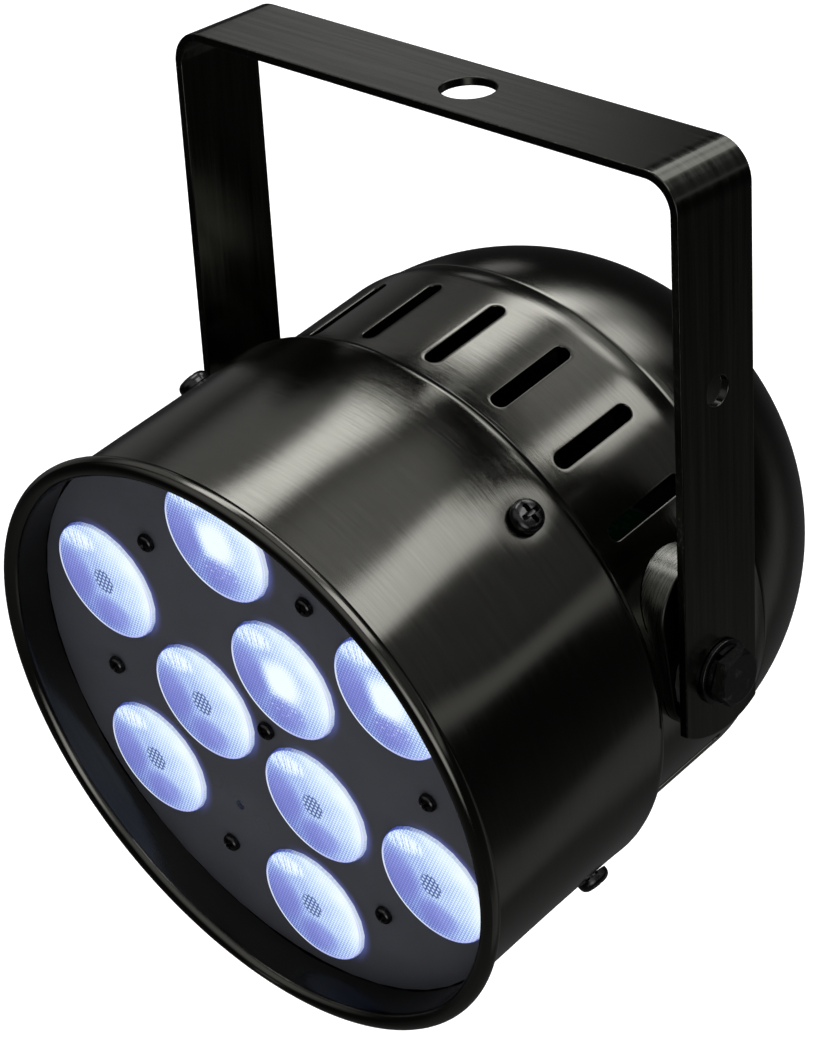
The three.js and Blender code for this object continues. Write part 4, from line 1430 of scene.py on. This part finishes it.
@dataclass
class Studio:
    """Pale floor, soft lights as a lit sky, and the camera."""

    can: Axes
    floor_drop: float = 0.42
    eye: tuple[float, float, float] = (0.63733, -0.66476, 0.36183)
    azimuth: float = 45.34
    elevation: float = 28.53
    roll: float = -3.56
    focal: float = 3436.16
    image_height: float = 1037.0
    sensor: float = 36.0

    def camera(self) -> None:
        """A long lens aimed down at the can, rolled slightly."""
        a, e, r = (math.radians(value) for value in (self.azimuth, self.elevation, self.roll))
        back = np.array([math.sin(a) * math.cos(e), -math.cos(a) * math.cos(e), math.sin(e)])
        right = np.array([math.cos(a), math.sin(a), 0.0])
        up = np.cross(back, right)
        x, y = math.cos(r) * right + math.sin(r) * up, math.cos(r) * up - math.sin(r) * right
        data = bpy.data.cameras.new("camera")
        data.sensor_width = self.sensor
        data.lens = self.sensor * self.focal / self.image_height
        data.clip_start, data.clip_end = 0.05, 50.0
        camera = bpy.data.objects.new("camera", data)
        bpy.context.scene.collection.objects.link(camera)
        rows = np.column_stack([x, y, back])
        camera.matrix_world = Matrix([[*rows[i], self.eye[i]] for i in range(3)] + [[0, 0, 0, 1]])
        bpy.context.scene.camera = camera

    def floor(self) -> None:
        """A wide level floor, far enough under the can to take only a soft shadow."""
        size = 30.0
        mesh = bpy.data.meshes.new("floor")
        corners = [(-size, -size), (size, -size), (size, size), (-size, size)]
        mesh.from_pydata([(x, y, -self.floor_drop) for x, y in corners], [], [(0, 1, 2, 3)])
        floor = bpy.data.objects.new("floor", mesh)
        bpy.context.scene.collection.objects.link(floor)
        paint = bpy.data.materials.new("floor_paper")
        paint.use_nodes = True
        tree = Tree(paint.node_tree)
        shader = tree.node("ShaderNodeBsdfPrincipled", sockets={
            "Base Color": (0.8, 0.8, 0.8), "Roughness": 0.9, "Specular IOR Level": 0.0,
            "Emission Color": (1.0, 1.0, 1.0), "Emission Strength": 0.5}, out="BSDF")
        tree.node("ShaderNodeOutputMaterial", sockets={"Surface": shader})
        mesh.materials.append(paint)
        floor.visible_glossy = False

    def sky(self) -> None:
        """A dim room with soft boxes: each one lights a range of angles round the can's axis.

        A box is full within its half width of its middle angle and fades over its softness, and it
        runs between two shares of the way along the can's axis. A lamp is round, at a direction of its
        own in the can's axes.
        """
        world = bpy.data.worlds.new("studio")
        bpy.context.scene.world = world
        world.use_nodes = True
        tree = Tree(world.node_tree)
        way = tree.node("ShaderNodeTexCoord", out="Generated")
        x, up, ahead = (tree.along(way, axis) for axis in (self.can.x, self.can.y, self.can.z))
        spread = (x * x + up * up + 1e-6) ** 0.5
        light = 0.018 + up.ramp(-0.9, -0.2, 0.05, 0.0)
        boxes = (
            # middle, half width, softness, low and high along the axis, its softness, level
            (116.0, 8.5, 4.5, -0.80, 0.05, 0.20, 5.4),
            (56.0, 10.0, 2.6, -0.72, 0.10, 0.16, 3.6),
            (78.0, 16.0, 13.0, -0.66, 0.10, 0.14, 0.70),
            (140.0, 13.0, 12.0, -0.58, 0.10, 0.10, 0.50),
            (100.0, 24.0, 14.0, -0.92, -0.63, 0.10, 1.0),
            (180.0, 10.0, 10.0, -0.60, 0.10, 0.14, 0.14),
            (8.0, 3.0, 2.5, -0.95, 0.2, 0.2, 0.55),
            (28.0, 12.0, 8.0, -0.95, 0.2, 0.2, 0.14),
            (-60.0, 9.0, 7.0, -0.95, 0.2, 0.2, 0.14),
            (90.0, 60.0, 25.0, 0.25, 0.85, 0.25, 0.5),
        )
        for middle, half, soft, low, high, fade, level in boxes:
            aim = math.radians(middle)
            turn = (x * math.cos(aim) + up * math.sin(aim)) / spread
            wide = math.cos(math.radians(half + soft))
            mask = turn.ramp(wide, math.cos(math.radians(max(half - soft, 0.5))))
            rise = ahead.ramp(low - fade / 2, low + fade / 2)
            fall = ahead.ramp(high - fade / 2, high + fade / 2, 1.0, 0.0)
            light = light + mask * rise * fall * level
        lamps = (
            # way to its middle, half width, softness, level
            ((-0.665, 0.247, -0.705), 3.0, 3.0, 0.75),
            ((0.03, 0.63, -0.77), 9.0, 5.0, 3.2),
            ((0.71, 0.05, 0.70), 14.0, 12.0, 2.2),
        )
        for aim, half, soft, level in lamps:
            turn = x * aim[0] + up * aim[1] + ahead * aim[2]
            wide = math.cos(math.radians(half + soft))
            light = light + turn.ramp(wide, math.cos(math.radians(max(half - soft, 0.5)))) * level
        seen = tree.node("ShaderNodeLightPath", out="Is Camera Ray")
        shader = tree.node("ShaderNodeBackground", sockets={
            "Color": (1.0, 1.0, 1.0), "Strength": light * (1.0 - seen) + seen * 0.96})
        tree.node("ShaderNodeOutputWorld", sockets={"Surface": shader})

    def build(self) -> None:
        """Sets the camera, the floor and the light."""
        self.camera()
        self.floor()
        self.sky()
        bpy.context.scene.view_settings.view_transform = "Standard"
        LOG.info("studio: camera, floor and sky")


def dress_frame(can: Axes, steel: Finish) -> None:
    """Gives a finish to each CAD node that is shown as it is.

    Args:
        can: The can's axes.
        steel: Finish of the small screws.
    """
    BareMetal("sink_aluminium", "bare_metal").dress("heat_sink", "plate_ring", "driver_tray")
    BareMetal("nut_zinc", "bare_metal", (0.34, 0.34, 0.33)).dress("tilt_nut_left", "tilt_nut_right")
    CircuitLacquer("board_white", "circuit_white", (0.55, 0.56, 0.55)).dress("led_board")
    CircuitLacquer("board_green", "circuit_green").dress("driver_board", "control_board")
    Moulding("panel_paint", "panel_black", (0.014, 0.014, 0.015), 0.5).dress("control_panel")
    Moulding("socket_plastic", "socket_black", (0.010, 0.010, 0.010), 0.34).dress(
        "data_in", "data_out", "data_out_core", "mains_inlet")
    Moulding("button_plastic", "button_grey", (0.07, 0.07, 0.075), 0.42).dress(
        *[f"button_{index}" for index in range(1, 5)])
    Moulding("rail_plastic", "rail_plastic", (0.02, 0.02, 0.02), 0.5).dress(
        "board_rail_left", "board_rail_right")
    Moulding("washer_fibre", "fibre_washer", (0.012, 0.010, 0.009), 0.8, 500.0).dress(
        "friction_washer_left", "friction_washer_right")
    DisplayGlass("display_glass", "display_dark", can).dress("display_window")
    steel.dress(*[f"panel_screw_{index}" for index in range(1, 5)])


def can_axes(frame: dict[str, Any]) -> Axes:
    """The can's axes: the tilt joint's place and axis, and the way that the buttons press.


    Returns:
        Axes with x along the tilt axis, y up the can and z ahead.
    """
    joints = {joint["name"]: joint for joint in frame["joints"]}
    across = np.array(joints["can_tilt"]["axis"], float)
    ahead = np.array(joints["button_1_press"]["axis"], float)
    ahead /= np.linalg.norm(ahead)
    return Axes(np.array(joints["can_tilt"]["pos_m"], float), across, np.cross(ahead, across), ahead)


def main() -> None:
    """Loads the frame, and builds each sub-assembly in order."""
    logging.basicConfig(level=logging.INFO, format="%(name)s: %(message)s")
    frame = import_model()
    can = can_axes(frame)
    pivot = Axes(can.origin, *np.eye(3))
    rim_low, rim_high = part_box("front_barrel")
    strap_low, strap_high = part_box("yoke")
    shell = SpunShell("shell_brushed_black", "shell_black", can)
    steel = BlackSteel("screw_oxide", "screw_black")
    bolt = BlackSteel("bolt_oxide", "bolt_black", 0.3, (0.035, 0.035, 0.035))
    shells = Shells(can, shell, rim=(rim_high.x - rim_low.x) / 2 / MM)
    shells.build()
    screws = Screws(steel)
    shells.fasten(screws)
    LampFace(can, screws).build()
    strap = StrapPaint("strap_satin_black", "strap_black", (strap_high.y - strap_low.y) / 2 / MM)
    Yoke(pivot, strap, (strap_high.y - strap_low.y) / MM, strap_high.z / MM - can.origin[2] / MM).build()
    TiltHardware(can, bolt, MilledPad("pad_milled", "shell_black")).build()
    dress_frame(can, steel)
    Studio(can).build()


if __name__ == "__main__":
    main()
